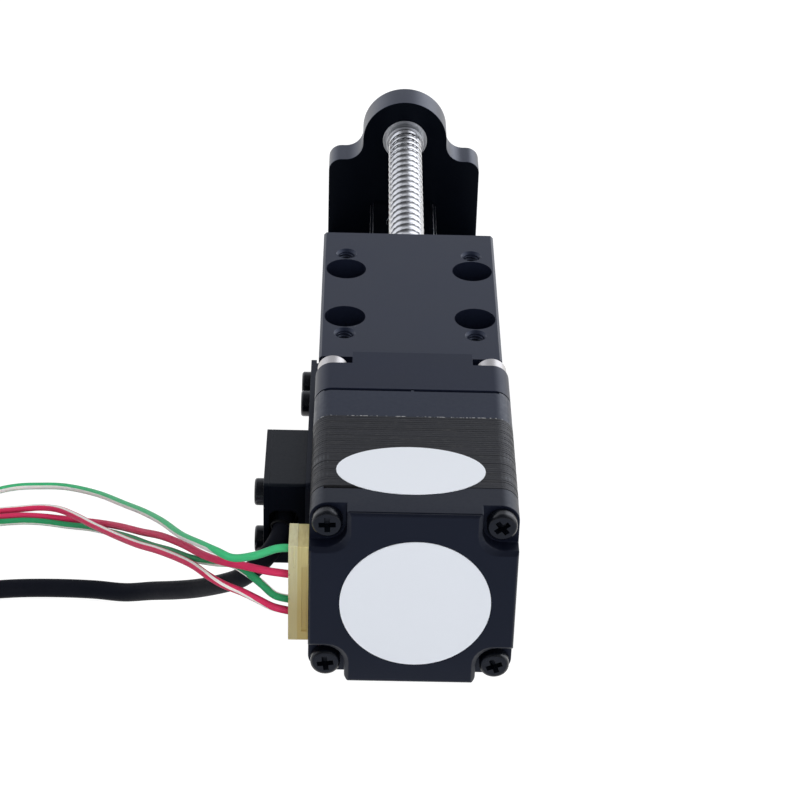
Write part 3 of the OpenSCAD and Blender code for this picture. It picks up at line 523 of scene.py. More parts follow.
def joined(pieces):
    """One object from several."""
    deselect()
    for piece in pieces:
        piece.select_set(True)
    bpy.context.view_layer.objects.active = pieces[0]
    bpy.ops.object.join()
    return pieces[0]


def modified(piece, kind, **settings):
    """Adds a modifier and applies it."""
    only(piece)
    modifier = piece.modifiers.new(kind.lower(), kind)
    for key, value in settings.items():
        setattr(modifier, key, value)
    bpy.ops.object.modifier_apply(modifier=modifier.name)
    return piece


def edit(piece):
    only(piece)
    bpy.ops.object.mode_set(mode="EDIT")
    bpy.ops.mesh.select_all(action="SELECT")


def leave_edit():
    bpy.ops.object.mode_set(mode="OBJECT")


def choose(piece, kind, test):
    """In edit mode, selects the points, edges or faces whose middle passes the test."""
    bpy.ops.mesh.select_mode(type=kind)
    bpy.ops.mesh.select_all(action="DESELECT")
    shape = bmesh.from_edit_mesh(piece.data)
    for part in {"VERT": shape.verts, "EDGE": shape.edges, "FACE": shape.faces}[kind]:
        spots = [part.co] if kind == "VERT" else [corner.co for corner in part.verts]
        if test(sum(spots, Vector()) / len(spots), part):
            part.select_set(True)
    bmesh.update_edit_mesh(piece.data)


def bevelled(piece, width, segments, angle, **settings):
    """Bevels the edges where faces turn by more than the angle."""
    return modified(
        piece, "BEVEL", width=width, segments=segments, limit_method="ANGLE",
        angle_limit=math.radians(angle), **settings,
    )


def eased(piece, width, segments=2, angle=35):
    """Rounds a piece's sharp edges."""
    return evened(bevelled(piece, width, segments, angle))


def evened(piece):
    """Shades a piece so that its flats stay flat."""
    smooth(piece, 50)
    return modified(piece, "WEIGHTED_NORMAL", keep_sharp=True)


def block(low, high, unit=MM):
    """A box between two corners, in millimetres or another unit, for more work or cutting with."""
    deselect()
    low, high = Vector(low) * unit, Vector(high) * unit
    bpy.ops.mesh.primitive_cube_add(size=1, location=(low + high) / 2, scale=high - low)
    return fixed(bpy.context.object)


def round_bar(radius, low, high, sides):
    """A bar along Z, for more work or for cutting with."""
    deselect()
    bpy.ops.mesh.primitive_cylinder_add(
        vertices=sides, radius=radius, depth=high - low, location=(0, 0, (low + high) / 2)
    )
    return fixed(bpy.context.object)


def cut_away(piece, *cutters):
    for cutter in cutters:
        modified(piece, "BOOLEAN", operation="DIFFERENCE", solver="EXACT", object=cutter)
        bpy.data.objects.remove(cutter)
    return piece


def copy_of_node(node):
    """A copy of a CAD node's mesh with its loose triangles merged and its flats made whole."""
    piece = NODES[node].copy()
    piece.data = NODES[node].data.copy()
    piece.parent = None
    for key in list(piece.keys()):
        del piece[key]
    bpy.context.scene.collection.objects.link(piece)
    edit(piece)
    bpy.ops.mesh.remove_doubles(threshold=0.0005 * MM)
    bpy.ops.mesh.dissolve_limited(angle_limit=math.radians(0.6))
    leave_edit()
    return piece


def eased_node(node, width, slot, segments=2, **settings):
    """A copy of a CAD node in its place, its edges rounded by a width in millimetres."""
    piece = eased(copy_of_node(node), width * MM, segments)
    return settle(piece, f"{node}_eased", slot, node, **settings)


def copies(piece, places, towards, turns=None):
    """Copies of a piece that is modelled along +Z with a unit for each millimetre, brought to
    size and place, each with its own mesh, and joined."""
    made = []
    heading = Vector((0, 0, 1)).rotation_difference(Vector(towards)).to_matrix().to_4x4()
    for i, place in enumerate(places):
        copy = piece.copy()
        copy.data = piece.data.copy()
        bpy.context.scene.collection.objects.link(copy)
        turn = Matrix.Rotation(math.radians(turns[i] if turns else 0), 4, "Z")
        copy.matrix_world = (
            Matrix.Translation(Vector(place) * MM) @ heading @ turn @ Matrix.Scale(MM, 4)
        )
        made.append(copy)
    bpy.data.objects.remove(piece)
    return joined(made)


# ---- cords ------------------------------------------------------------------------------

# Points in millimetres, from the plug or the gland to the coil
ROUTES = {
    "lead_green_white": [
        (-16.3, -82.2, 32.6), (-18.4, -82.2, 32.4), (-21.2, -82, 31.1), (-24.2, -81.3, 30.1),
        (-26.6, -79.6, 30), (-29, -75.8, 28.4), (-32.2, -69, 25), (-35.6, -59.6, 20.6),
        (-39.2, -50, 15.6), (-43.2, -40.6, 10.5), (-47.4, -32, 6.1), (-51.4, -26, 3),
        (-55, -22.7, 1.3), (-58.4, -21.8, 0.7), (-62, -22, 0.6), (-65.4, -23.3, 0.6),
        (-69, -25.8, 0.7), (-72.6, -28.2, 1.3), (-76, -29.6, 1.9),
    ],
    "lead_red": [
        (-16.3, -82.2, 28.2), (-19.6, -81.8, 28.4), (-23, -80.4, 28.2), (-26, -78.1, 27.2),
        (-28.9, -73.7, 25.1), (-32, -67, 21.9), (-35.8, -58.8, 17.5), (-39.6, -50.6, 12.4),
        (-43.4, -42.6, 7.6), (-47.2, -36.2, 3.7), (-50.8, -32.4, 1.4), (-54.2, -30.9, 0.7),
        (-57.6, -30.3, 0.6), (-61, -30.2, 0.6), (-64.4, -30.7, 0.6), (-69, -30.9, 1.1),
        (-73.5, -31, 1.8), (-78, -30.9, 2.1),
    ],
    "lead_green": [
        (-16.3, -82.2, 24), (-18.6, -82.1, 24.6), (-20.4, -81.5, 26), (-22.4, -80.2, 26.9),
        (-24.6, -78, 26.7), (-27.4, -74.9, 24.7), (-30.8, -70.2, 21.9), (-34.2, -63.8, 18.5),
        (-37.7, -56.8, 14.4), (-41.3, -48.8, 9.9), (-45, -41.4, 5.6), (-49, -35.8, 2.5),
        (-53, -32.8, 0.8), (-56.6, -31.8, 0.6), (-60, -31.6, 0.6), (-64, -32.1, 0.6),
        (-69, -32.2, 0.6), (-73.5, -31.8, 0.6), (-78, -31, 0.8),
    ],
    "lead_red_white": [
        (-16.3, -82.2, 22), (-18.8, -82.1, 22.6), (-20.8, -81.9, 23.6), (-23, -81.4, 24.5),
        (-25.6, -80.2, 24.8), (-27.9, -77.8, 24.5), (-30.2, -73.8, 23.3), (-33, -68.6, 20.9),
        (-36.2, -62.8, 17.9), (-39.6, -56.6, 14.4), (-43.4, -49.4, 10.7), (-47.6, -42, 7.3),
        (-51.4, -35.8, 4.8), (-54.6, -31, 2.6), (-57.8, -28.6, 1.2), (-61.2, -28.3, 0.6),
        (-64.6, -28.9, 0.6), (-69, -29.6, 0.6), (-73, -29.9, 0.6), (-76, -29.8, 0.7),
    ],
    "sensor_cable": [
        (-17.8, -66.6, 28), (-17.8, -68.6, 28), (-17.9, -70.6, 27.8), (-18.6, -72.4, 26.7),
        (-20, -73.4, 24.9), (-21.8, -73.3, 22.6), (-23.8, -71.8, 19.8), (-26.6, -68.6, 16.4),
        (-30.2, -63.8, 12), (-33.8, -59.8, 8.6), (-37.8, -55.8, 5.4), (-42.2, -52.8, 2.8),
        (-47, -50.9, 1.8), (-52.4, -50.3, 1.5), (-58, -50.5, 1.5), (-64, -51.2, 1.5),
        (-69, -51.4, 1.6), (-73.4, -51.4, 1.7),
    ],
}


def spline(points, steps=6):
    """A smooth curve through the points, with steps points for each span."""
    first = points[0] * 2 - points[1]
    last = points[-1] * 2 - points[-2]
    whole = [first, *points, last]
    curve = []
    for a, b, c, d in zip(whole, whole[1:], whole[2:], whole[3:]):
        for k in range(steps):
            t = k / steps
            curve.append(
                0.5 * (
                    2 * b + (c - a) * t + (2 * a - 5 * b + 4 * c - d) * t * t
                    + (3 * b - a - 3 * c + d) * t ** 3
                )
            )
    curve.append(points[-1].copy())
    return curve


def cut_to(curve, length):
    """The curve's first stretch, exactly that long."""
    kept = [curve[0]]
    left = length
    for a, b in zip(curve, curve[1:]):
        step = (b - a).length
        if step >= left:
            kept.append(a.lerp(b, left / step))
            return kept
        kept.append(b)
        left -= step
    raise RuntimeError(f"a cord's coil is too short by {left / MM:.1f} mm")


def tube(name, curve, diameter, sides=12):
    """A closed tube along a curve, with a UV map: U along it in metres, V once round it."""
    points = []
    heading = (curve[1] - curve[0]).normalized()
    across = heading.cross(Vector((0, 0, 1))).normalized()
    for behind, middle, ahead in zip([curve[0], *curve], curve, [*curve[1:], curve[-1]]):
        new_heading = (ahead - behind).normalized()
        across = heading.rotation_difference(new_heading) @ across
        heading = new_heading
        across = (across - heading * across.dot(heading)).normalized()
        up = across.cross(heading)
        for k in range(sides):
            angle = 2 * math.pi * k / sides
            points.append(middle + diameter / 2 * (math.cos(angle) * across + math.sin(angle) * up))
    piece = ring_mesh(name, points, sides)
    reach = [0.0]
    for a, b in zip(curve, curve[1:]):
        reach.append(reach[-1] + (b - a).length)
    uv = piece.data.uv_layers.new(name="along")
    for face in piece.data.polygons:
        corners = [divmod(piece.data.loops[i].vertex_index, sides) for i in face.loop_indices]
        spots = [spot for ring, spot in corners]
        wraps = max(spots) - min(spots) > 1
        for loop, (ring, spot) in zip(face.loop_indices, corners):
            turn = 1.0 if wraps and spot == 0 else spot / sides
            uv.data[loop].uv = (reach[ring], turn)
    smooth(piece, 60)
    return piece


def flat_spiral(centre, radius, pitch, height, turns, clockwise, start=-math.pi / 2):
    """Points of a coil's turns in one layer, inwards from the start."""
    side = -1 if clockwise else 1
    count = int(math.ceil(turns * 48))
    curve = []
    for k in range(count + 1):
        turn = turns * k / count
        angle = start + side * 2 * math.pi * turn
        r = radius - pitch * turn
        curve.append(
            Vector((centre[0] + r * math.cos(angle), centre[1] + r * math.sin(angle), height))
        )
    return curve


def coil_centre(node):
    low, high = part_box(node)
    return (low.xy + high.xy) / 2


def coil_radius(node, diameter, slack):
    """Radius of a coil's outermost turn, at the middle of the cord."""
    low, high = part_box(node)
    return (high.x - low.x) / 2 - diameter / 2 - slack


def lay_cord(node, coil_points, diameter, length, slot, coil_node, *extras):
    """One cord: its open route, then its coil, cut to its real length."""
    route = [Vector(p) * MM for p in ROUTES[node]]
    whole = spline([*route, *coil_points[:2]])[:-1] + coil_points[1:]
    curve = cut_to(whole, length)
    piece = tube(f"{node}_whole", curve, diameter)
    settle(piece, f"{node}_whole", slot, node, coil_node)


class MODULE_OT_lay_leads(bpy.types.Operator):
    """Lays the motor's four leads and their coil"""

    bl_idname = "module.lay_leads"
    bl_label = "Lay Motor Leads"

    def execute(self, context):
        sizes = context.scene.module_sizes
        colours = context.scene.module_colours
        white = (0.86, 0.85, 0.82)
        turn_pitch = 1.2 * MM
        lower, upper = 0.9 * MM, 2.1 * MM
        outer = coil_radius("lead_coil", sizes.lead_d, 0.05 * MM)
        inner = outer - turn_pitch
        looks = {
            "lead_green_white": (colours.bright_green, white, 0.11, (0.9, 0.5, 7, 13), inner, upper),
            "lead_red": (colours.red, None, 0, None, outer, upper),
            # The lower green lead's thin white stripe is a painted highlight, laid where light leaves pale edges
            # on it.
            "lead_green": (colours.green, white, 0.05, (0.215, -0.4, 5, 7), outer, lower),
            "lead_red_white": (colours.red, white, 0.065, (0.66, 0.3, 1.5, 14), inner, lower),
        }
        centre, coil_turns = coil_centre("lead_coil"), 3.3
        for node, (colour, stripe, width, turns, radius, height) in looks.items():
            coil = flat_spiral(centre, radius, 2 * turn_pitch, height, coil_turns, True)
            striped_lead(node, colour, stripe, width, turns)
            ties = [eased_node("lead_tie", 0.35, "tie_nylon", 4)] if node == "lead_red" else []
            lay_cord(node, coil, sizes.lead_d, sizes.lead_length, node, "lead_coil", *ties)
        return {"FINISHED"}


class MODULE_OT_lay_cable(bpy.types.Operator):
    """Lays the sensor cable and its coil"""

    bl_idname = "module.lay_cable"
    bl_label = "Lay Sensor Cable"

    def execute(self, context):
        sizes = context.scene.module_sizes
        low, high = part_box("cable_coil")
        centre = coil_centre("cable_coil")
        low_z = low.z + sizes.cable_d / 2 + 0.1 * MM
        high_z = high.z - sizes.cable_d / 2 - 0.05 * MM
        pitch = 3.05 * MM
        inward, climb = 2.0, 0.6  # turns of the lower layer, and of the climb to the upper one
        outer = coil_radius("cable_coil", sizes.cable_d, 0.1 * MM)
        inner = outer - pitch * inward
        start = math.pi / 2
        under = flat_spiral(centre, outer, pitch, low_z, inward, False, start)
        rise = flat_spiral(centre, inner, 0, high_z, climb, False, start)
        for k, point in enumerate(rise):
            share = min(1.0, k / len(rise) * 1.6)
            point.z = low_z + (high_z - low_z) * share * share * (3 - 2 * share)
        over = flat_spiral(centre, inner, -pitch, high_z, 2.2, False, start + 2 * math.pi * climb)
        jacket("cable_jacket")
        lay_cord(
            "sensor_cable", [*under, *rise[1:], *over[1:]], sizes.cable_d, sizes.cable_length,
            "cable_jacket", "cable_coil", eased_node("cable_tie", 0.35, "tie_nylon", 4),
        )
        return {"FINISHED"}


# ---- screw -----------------------------------------------------------------------------


class MODULE_OT_roll_screw(bpy.types.Operator):
    """Makes the ball screw with its round track, chamfers and journals"""

    bl_idname = "module.roll_screw"
    bl_label = "Make Ball Screw"

    def execute(self, context):
        sizes = context.scene.module_sizes
        low, high = (corner.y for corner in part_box("ball_screw"))
        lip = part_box("thrust_bearing_inner")[1].y
        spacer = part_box("end_spacer")[0].y
        journal, lip_r, tip = 2 * MM, 2.5 * MM, 1.7 * MM
        whole = joined([
            threaded_rod(sizes, lip + 0.4 * MM, spacer - 0.1 * MM),
            turned("journal", [(low, journal), (lip, journal), (lip, lip_r), (lip + 0.5 * MM, lip_r)]),
            turned("tail", [(spacer - 0.2 * MM, journal), (high - 0.3 * MM, journal), (high, tip)]),
        ])
        smooth(whole, 40)
        settle(whole, "ball_screw_rolled", "screw_steel", "ball_screw", body="screw_shaft")
        eased_node("end_spacer", 0.12, "bearing_steel", body="screw_shaft")
        eased_node("end_bearing_inner", 0.12, "bearing_steel", body="screw_shaft")
        eased_node("end_bearing_outer", 0.12, "bearing_steel")
        return {"FINISHED"}


def on_axis(radius, y, share):
    """The point at a share of the way round the screw's axis."""
    angle = 2 * math.pi * share
    return Vector((radius * math.cos(angle), y, AXIS_Z - radius * math.sin(angle)))


def turned(name, profile, sides=48):
    """A closed round bar on the screw's axis; the profile is pairs of Y and radius."""
    return ring_mesh(name, [on_axis(r, y, k / sides) for y, r in profile for k in range(sides)], sides)


def track_share(phase):
    """Share of the track's full depth, where phase runs from 0 to 1 between two crests."""
    track_width = 0.72
    off = abs(phase - 0.5) * 2 / track_width
    return math.sqrt(max(0.0, 1 - off * off))


def threaded_rod(sizes, y0, y1, sides=72):
    """A bar from y0 to y1 whose surface is a right-hand track that fades in and out."""
    steps_per_turn = 20
    rows = int((y1 - y0) / sizes.lead * steps_per_turn)
    fade_in, fade_out = 1.2 * sizes.lead, 0.5 * sizes.lead
    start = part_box("thrust_bearing_inner")[1].y + 0.6 * fade_in
    crest = sizes.screw_d / 2 - 0.02 * MM
    points = []
    for i in range(rows + 1):
        y = y0 + (y1 - y0) * i / rows
        fade = max(0.0, min(1.0, (y - y0) / fade_in, (y1 - y) / fade_out))
        for k in range(sides):
            phase = ((y - start) / sizes.lead - k / sides) % 1.0
            radius = crest - sizes.track_depth * fade * track_share(phase)
            points.append(on_axis(radius, y, k / sides))
    return ring_mesh("thread", points, sides)


# ---- plates ----------------------------------------------------------------------------


class MODULE_OT_ease_plates(bpy.types.Operator):
    """Rounds the edges of the machined plates and taps the table's threads"""

    bl_idname = "module.ease_plates"
    bl_label = "Ease Plates"

    def execute(self, context):
        eased_node("base_plate", 0.25, "black_anodised")
        eased_node("motor_mount", 0.16, "black_anodised", finish="mount_anodised")
        end_plate = eased_node("end_plate", 0.2, "black_anodised", finish="end_anodised")
        # The end plate's faces that look along -Y get a darker finish: painted shade.
        paint_shaded_faces(end_plate, "painted_shade_face")
        eased_node("carriage", 0.2, "black_anodised", body="carriage")
        rail = settle(copy_of_node("guide_rail"), "guide_rail_eased", "rail_steel", "guide_rail")
        rail.data.materials.append(FINISHES["rail_chamfer"])
        bevelled(rail, 0.14 * MM, 1, 40, material=1)
        table = MOUNTS["table_holes"]
        x, y, top = (c / MM for c in table["pos_m"])
        across, along = (table["dims"][f"spacing_{axis}_mm"] / 2 for axis in "xy")
        chamfer, depth = 0.45, 5.2
        holes = [
            (x + i * across, y + j * along, top - chamfer - depth) for i in (-1, 1) for j in (-1, 1)
        ]
        thread = tapped_sleeve(radius=1.27, depth=0.24, pitch=0.5, height=depth)
        settle(copies(thread, holes, (0, 0, 1)), "tapped_threads", "black_anodised", body="carriage")
        return {"FINISHED"}


def tapped_sleeve(radius, depth, pitch, height, sides=24):
    """The inside thread of a tapped hole as a thin closed sleeve from z 0 up."""
    rows = int(height / pitch * 8)
    points = []
    for i in range(rows + 1):
        z = height * i / rows
        fade = max(0.0, min(1.0, (height - z) / pitch, z / pitch))
        for k in range(sides):
            phase = (z / pitch - k / sides) % 1.0
            points.append(at_angle(radius - depth * fade * (1 - abs(2 * phase - 1)), k / sides, z))
    for z in (height, 0.0):
        points += [at_angle(radius + 0.05, k / sides, z) for k in range(sides)]
    return ring_mesh("sleeve", points, sides, closed=True)


def at_angle(radius, share, z):
    """The point at a share of the way round a circle."""
    angle = 2 * math.pi * share
    return Vector((radius * math.cos(angle), radius * math.sin(angle), z))


# ---- motor -----------------------------------------------------------------------------


class MODULE_OT_build_motor(bpy.types.Operator):
    """Makes the motor's laminated skin and finishes its two cast caps"""

    bl_idname = "module.build_motor"
    bl_label = "Build Motor"

    def execute(self, context):
        sheets = stack_skin(context.scene.module_sizes.laminations)
        laminated("lamination_edges")
        settle(sheets, "lamination_skin", "lamination", finish="lamination_edges")
        front = front_cap()
        settle(front, "motor_front_cap_eased", "cast_black", "motor_front_cap", finish="cast_front")
        settle(rear_cap(), "motor_rear_cap_eased", "cast_black", "motor_rear_cap")
        return {"FINISHED"}


def front_cap():
    """The front cap, with a seam and two pry grooves where it meets the mount."""
    joint = ends("motor_mount")[0].y
    cap = copy_of_node("motor_front_cap")
    for x0, x1 in ((-12.6, -0.3), (0.1, 12.2)):
        cut_away(cap, top_groove(x0, x1, joint - 0.6, joint + 0.1, 0.5))
    eased(cap, 0.12 * MM)
    return evened(cut_away(cap, seam_cutter("motor_front_cap", 0.3, 2.2)))


def rear_cap():
    """The rear cap, its back rounded all round, with a groove at the stack, a step along its
    upper back edge and a tab with rounded corners below."""
    low, high = ends("motor_rear_cap")
    middle = (high.z + low.z) / 2
    cap = copy_of_node("motor_rear_cap")
    cut_away(cap, top_groove(-12.2, -2, high.y - 0.6, high.y + 0.1, 0.4))
    edit(cap)
    choose(
        cap,
        "EDGE",
        lambda at, edge: at.y < (low.y + 0.05) * MM
        and max(abs(at.x), abs(at.z - middle * MM)) > 13.9 * MM
        and edge.calc_face_angle(0) > 0.6,
    )
    bpy.ops.mesh.bevel(offset=0.5 * MM, segments=4, affect="EDGES", clamp_overlap=True)
    leave_edit()
    eased(cap, 0.16 * MM)
    cut_away(cap, top_groove(-8.8, 8.8, low.y + 0.4, low.y + 0.65, 0.25))
    half_tab, pocket = 9, 2.2
    for x in (-half_tab, half_tab):
        cut_away(cap, corner_cutter(x, low.z, 1, low.y - 1, low.y + pocket))
    return evened(cap)


def top_groove(x0, x1, y0, y1, depth):
    """What cuts a groove into the motor's top, all in millimetres."""
    top = STACK_HIGH.z / MM
    return block((x0, y0, top - depth), (x1, y1, top + 0.5))


def corner_cutter(x, z, radius, y0, y1):
    """What rounds a lower corner off at x and z, all in millimetres, between y0 and y1."""
    inside = x - math.copysign(radius, x)
    outside = x + math.copysign(1, x)
    bar = round_bar(radius * MM, y0 * MM, y1 * MM, 48)
    bar.rotation_euler = (-math.pi / 2, 0, 0)
    bar.location = Vector((inside, 0, z + radius)) * MM
    low, high = sorted((inside, outside))
    return cut_away(block((low, y0 + 0.2, z - 1), (high, y1 - 0.2, z + radius)), fixed(bar))


def seam_cutter(node, width, corner):
    """A frame that cuts a seam as deep as wide round a node where it meets the mount, with
    sizes in millimetres."""
    low, high = ends(node)
    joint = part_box("motor_mount")[0].y / MM
    ring = block((low.x - 1, joint - width, low.z - 1), (high.x + 1, joint, high.z + 1))
    inner = block(
        (low.x + width, joint - 2, low.z + width), (high.x - width, joint + 2, high.z - width)
    )
    edit(inner)
    choose(inner, "EDGE", lambda at, edge: abs(at.y - joint * MM) < 0.1 * MM)
    bpy.ops.mesh.bevel(offset=corner * MM, segments=6, affect="EDGES")
    leave_edit()
    return cut_away(ring, inner)


def stack_skin(count):
    """The punched edges of the stack's sheets, each a little out of line with the next."""
    chance = random.Random(11)
    pitch = (STACK_HIGH.y - STACK_LOW.y) / count
    width = STACK_HIGH.x - STACK_LOW.x
    sheets = []
    for i in range(count):
        deselect()
        bpy.ops.mesh.primitive_plane_add(
            size=width + chance.uniform(0.02, 0.08) * MM, rotation=(math.pi / 2, 0, 0)
        )
        sheet = fixed(bpy.context.object)
        edit(sheet)
        bpy.ops.mesh.bevel(offset=2.5 * MM, segments=7, affect="VERTICES")
        bpy.ops.mesh.select_all(action="SELECT")
        bpy.ops.mesh.inset(thickness=0.35 * MM)
        bpy.ops.mesh.delete(type="FACE")
        bpy.ops.mesh.select_all(action="SELECT")
        thick = pitch * chance.choice((0.74, 0.84, 0.9, 0.93))
        bpy.ops.mesh.extrude_region_move(TRANSFORM_OT_translate={"value": (0, thick, 0)})
        bpy.ops.mesh.select_all(action="SELECT")
        bpy.ops.mesh.normals_make_consistent(inside=False)
        leave_edit()
        sheet.location = (
            chance.uniform(-0.015, 0.015) * MM,
            STACK_LOW.y + pitch * (i + 0.04),
            AXIS_Z + chance.uniform(-0.01, 0.01) * MM,
        )
        sheets.append(sheet)
    whole = joined(sheets)
    smooth(whole, 30)
    return whole


# ---- screws ----------------------------------------------------------------------------


class MODULE_OT_drive_screws(bpy.types.Operator):
    """Makes the pan head and socket head screws that hold the motor and its cable box"""

    bl_idname = "module.drive_screws"
    bl_label = "Drive Screws"

    def execute(self, context):
        axis = AXIS_Z / MM
        pocket_depth, flange_thickness = 2.58, 6.9
        pocket = MOTOR_LOW.y / MM + pocket_depth
        flange = ends("motor_mount")[0].y + flange_thickness
        plate, cover = ends("side_plate")[0].x, ends("cable_box_cover")[0].x
        rear_seats = [(x, pocket, axis + z) for x in (-11.6, 11.6) for z in (-11.55, 11.55)]
        flange_seats = [(x, flange, axis + z) for x in (-11.5, 11.5) for z in (-11.5, 11.5)]
        plate_seats = [(plate, y, 32.2) for y in (-45.2, -39.9)]
        cover_seats = [(cover, -68.1, z) for z in (24, 32)]
        left = (-1, 0, 0)
        rear_head = pan_head(width=4.1, height=1.7, arm=0.78, shank=24)
        plate_head, cover_head = (pan_head(width=3.8, height=1.3, arm=0.5, shank=3) for i in range(2))
        cap_head = socket_head(width=4.5, height=2.5, flats=1.9, shank=10)
        for name, node, slot, screw, seats, towards, turns in (
            (
                "rear_cap_pan_heads", "rear_cap_screws", "black_screw",
                rear_head, rear_seats, (0, -1, 0), (8, 2, 22, 38),
            ),
            (
                "side_plate_pan_heads", "side_plate_screws", "black_screw",
                plate_head, plate_seats, left, (20, 65),
            ),
            (
                "cover_pan_heads", "cover_screws", "black_screw",
                cover_head, cover_seats, left, (35, 5),
            ),
            (
                "motor_socket_heads", "motor_screws", "stainless_screw",
                cap_head, flange_seats, (0, 1, 0), (0, 15, 30, 10),
            ),
        ):
            settle(copies(screw, seats, towards, turns), name, slot, node)
        return {"FINISHED"}


def pan_head(width, height, arm, shank):
    """A screw with a pan head and a cross recess, its seat at z 0 and its top up."""
    head = round_bar(width / 2, 0, height, 40)
    edit(head)
    choose(head, "EDGE", lambda at, edge: min(v.co.z for v in edge.verts) > height * 0.99)
    bpy.ops.mesh.bevel(offset=height * 0.3, segments=6, affect="EDGES", profile=0.5)
    leave_edit()
    reach = width * 0.31
    for angle in (0, 90):
        slot = block((-reach, -arm / 2, height * 0.2), (reach, arm / 2, height * 1.2), 1)
        edit(slot)
        choose(slot, "FACE", lambda at, face: at.z < height * 0.3)
        bpy.ops.transform.resize(value=(0.5, 0.8, 1))
        leave_edit()
        slot.rotation_euler = (0, 0, math.radians(angle))
        cut_away(head, fixed(slot))
    cut_away(head, round_bar(arm * 0.72, height * 0.25, height * 1.2, 16))
    eased(head, 0.035, 2, 38)
    return joined([head, plain_shank(width * 0.3, shank)])


def plain_shank(radius, length):
    """The shank of a small screw below z 0, with its point rounded off."""
    shank = round_bar(radius, -length, 0, 20)
    edit(shank)
    choose(shank, "FACE", lambda at, face: at.z < -length * 0.99)
    bpy.ops.mesh.bevel(offset=radius * 0.3, segments=2, affect="EDGES")
    leave_edit()
    smooth(shank, 40)
    return shank


def socket_head(width, height, flats, shank):
    """A screw with a cylinder head and a hexagon socket, its seat at z 0 and its top up."""
    head = round_bar(width / 2, 0, height, 48)
    cut_away(head, round_bar(flats / 2 * 1.1547, height * 0.5, height * 1.6, 6))
    eased(head, height * 0.09, 3, 38)
    return joined([head, plain_shank(width * 0.27, shank)])


# ---- connector and cable box -------------------------------------------------------------


class MODULE_OT_mould_connector(bpy.types.Operator):
    """Makes the motor's pin header and the plug on it"""

    bl_idname = "module.mould_connector"
    bl_label = "Mould Connector"

    def execute(self, context):
        low, high = ends("lead_plug")
        wall = ends("pin_header")[1].x
        seam = wall - 1.5
        header = block((seam, low.y, low.z), (wall, high.y, high.z - 0.1))
        window = block(
            (wall - 0.9, low.y - 0.3, low.z + 1.4), (wall - 0.15, low.y + 0.45, high.z - 3.4)
        )
        eased(cut_away(header, window), 0.12 * MM)
        settle(header, "pin_header_moulded", "ivory_nylon", "pin_header", finish="header_nylon")
        plug = block((seam - 1.2, low.y, low.z), (seam + 0.05, high.y, high.z - 0.05))
        slit = block(
            (seam - 0.5, low.y - 0.2, high.z - 3.6), (seam - 0.25, low.y + 0.12, high.z + 0.2)
        )
        grips = [
            block((seam - 1.5, low.y - 0.2, z - 0.25), (seam - 1, high.y + 0.2, z + 0.25))
            for z in (26, 30)
        ]
        eased(cut_away(plug, slit, *grips), 0.14 * MM)
        settle(plug, "lead_plug_moulded", "ivory_nylon", "lead_plug")
        return {"FINISHED"}


class MODULE_OT_close_cable_box(bpy.types.Operator):
    """Rounds the cable box, its cover and side plate, and turns the cable's gland"""

    bl_idname = "module.close_cable_box"
    bl_label = "Close Cable Box"

    def execute(self, context):
        for node, width in (("cable_box", 0.25), ("cable_box_cover", 0.2)):
            # The faces of the box and its cover that look along -Y get a darker finish: painted shade.
            paint_shaded_faces(eased_node(node, width, "box_plastic"), "painted_shade_face")
        eased_node("side_plate", 0.12, "painted_sheet")
        eased_node("cable_grommet", 0.15, "seal_rubber")
        collar = round_bar(1.8, 0, 0.5, 40)
        cut_away(collar, round_bar(1.45, -0.5, 1.5, 40))
        mouth, leaving = (-17.9, ends("cable_box")[0].y + 0.5, 27.85), (-0.4, -1.8, -0.8)
        collar = copies(eased(collar, 0.14, 3, 38), [mouth], leaving)
        settle(collar, "cable_gland_collar", "seal_rubber")
        return {"FINISHED"}


# ---- finishes of the CAD nodes -----------------------------------------------------------


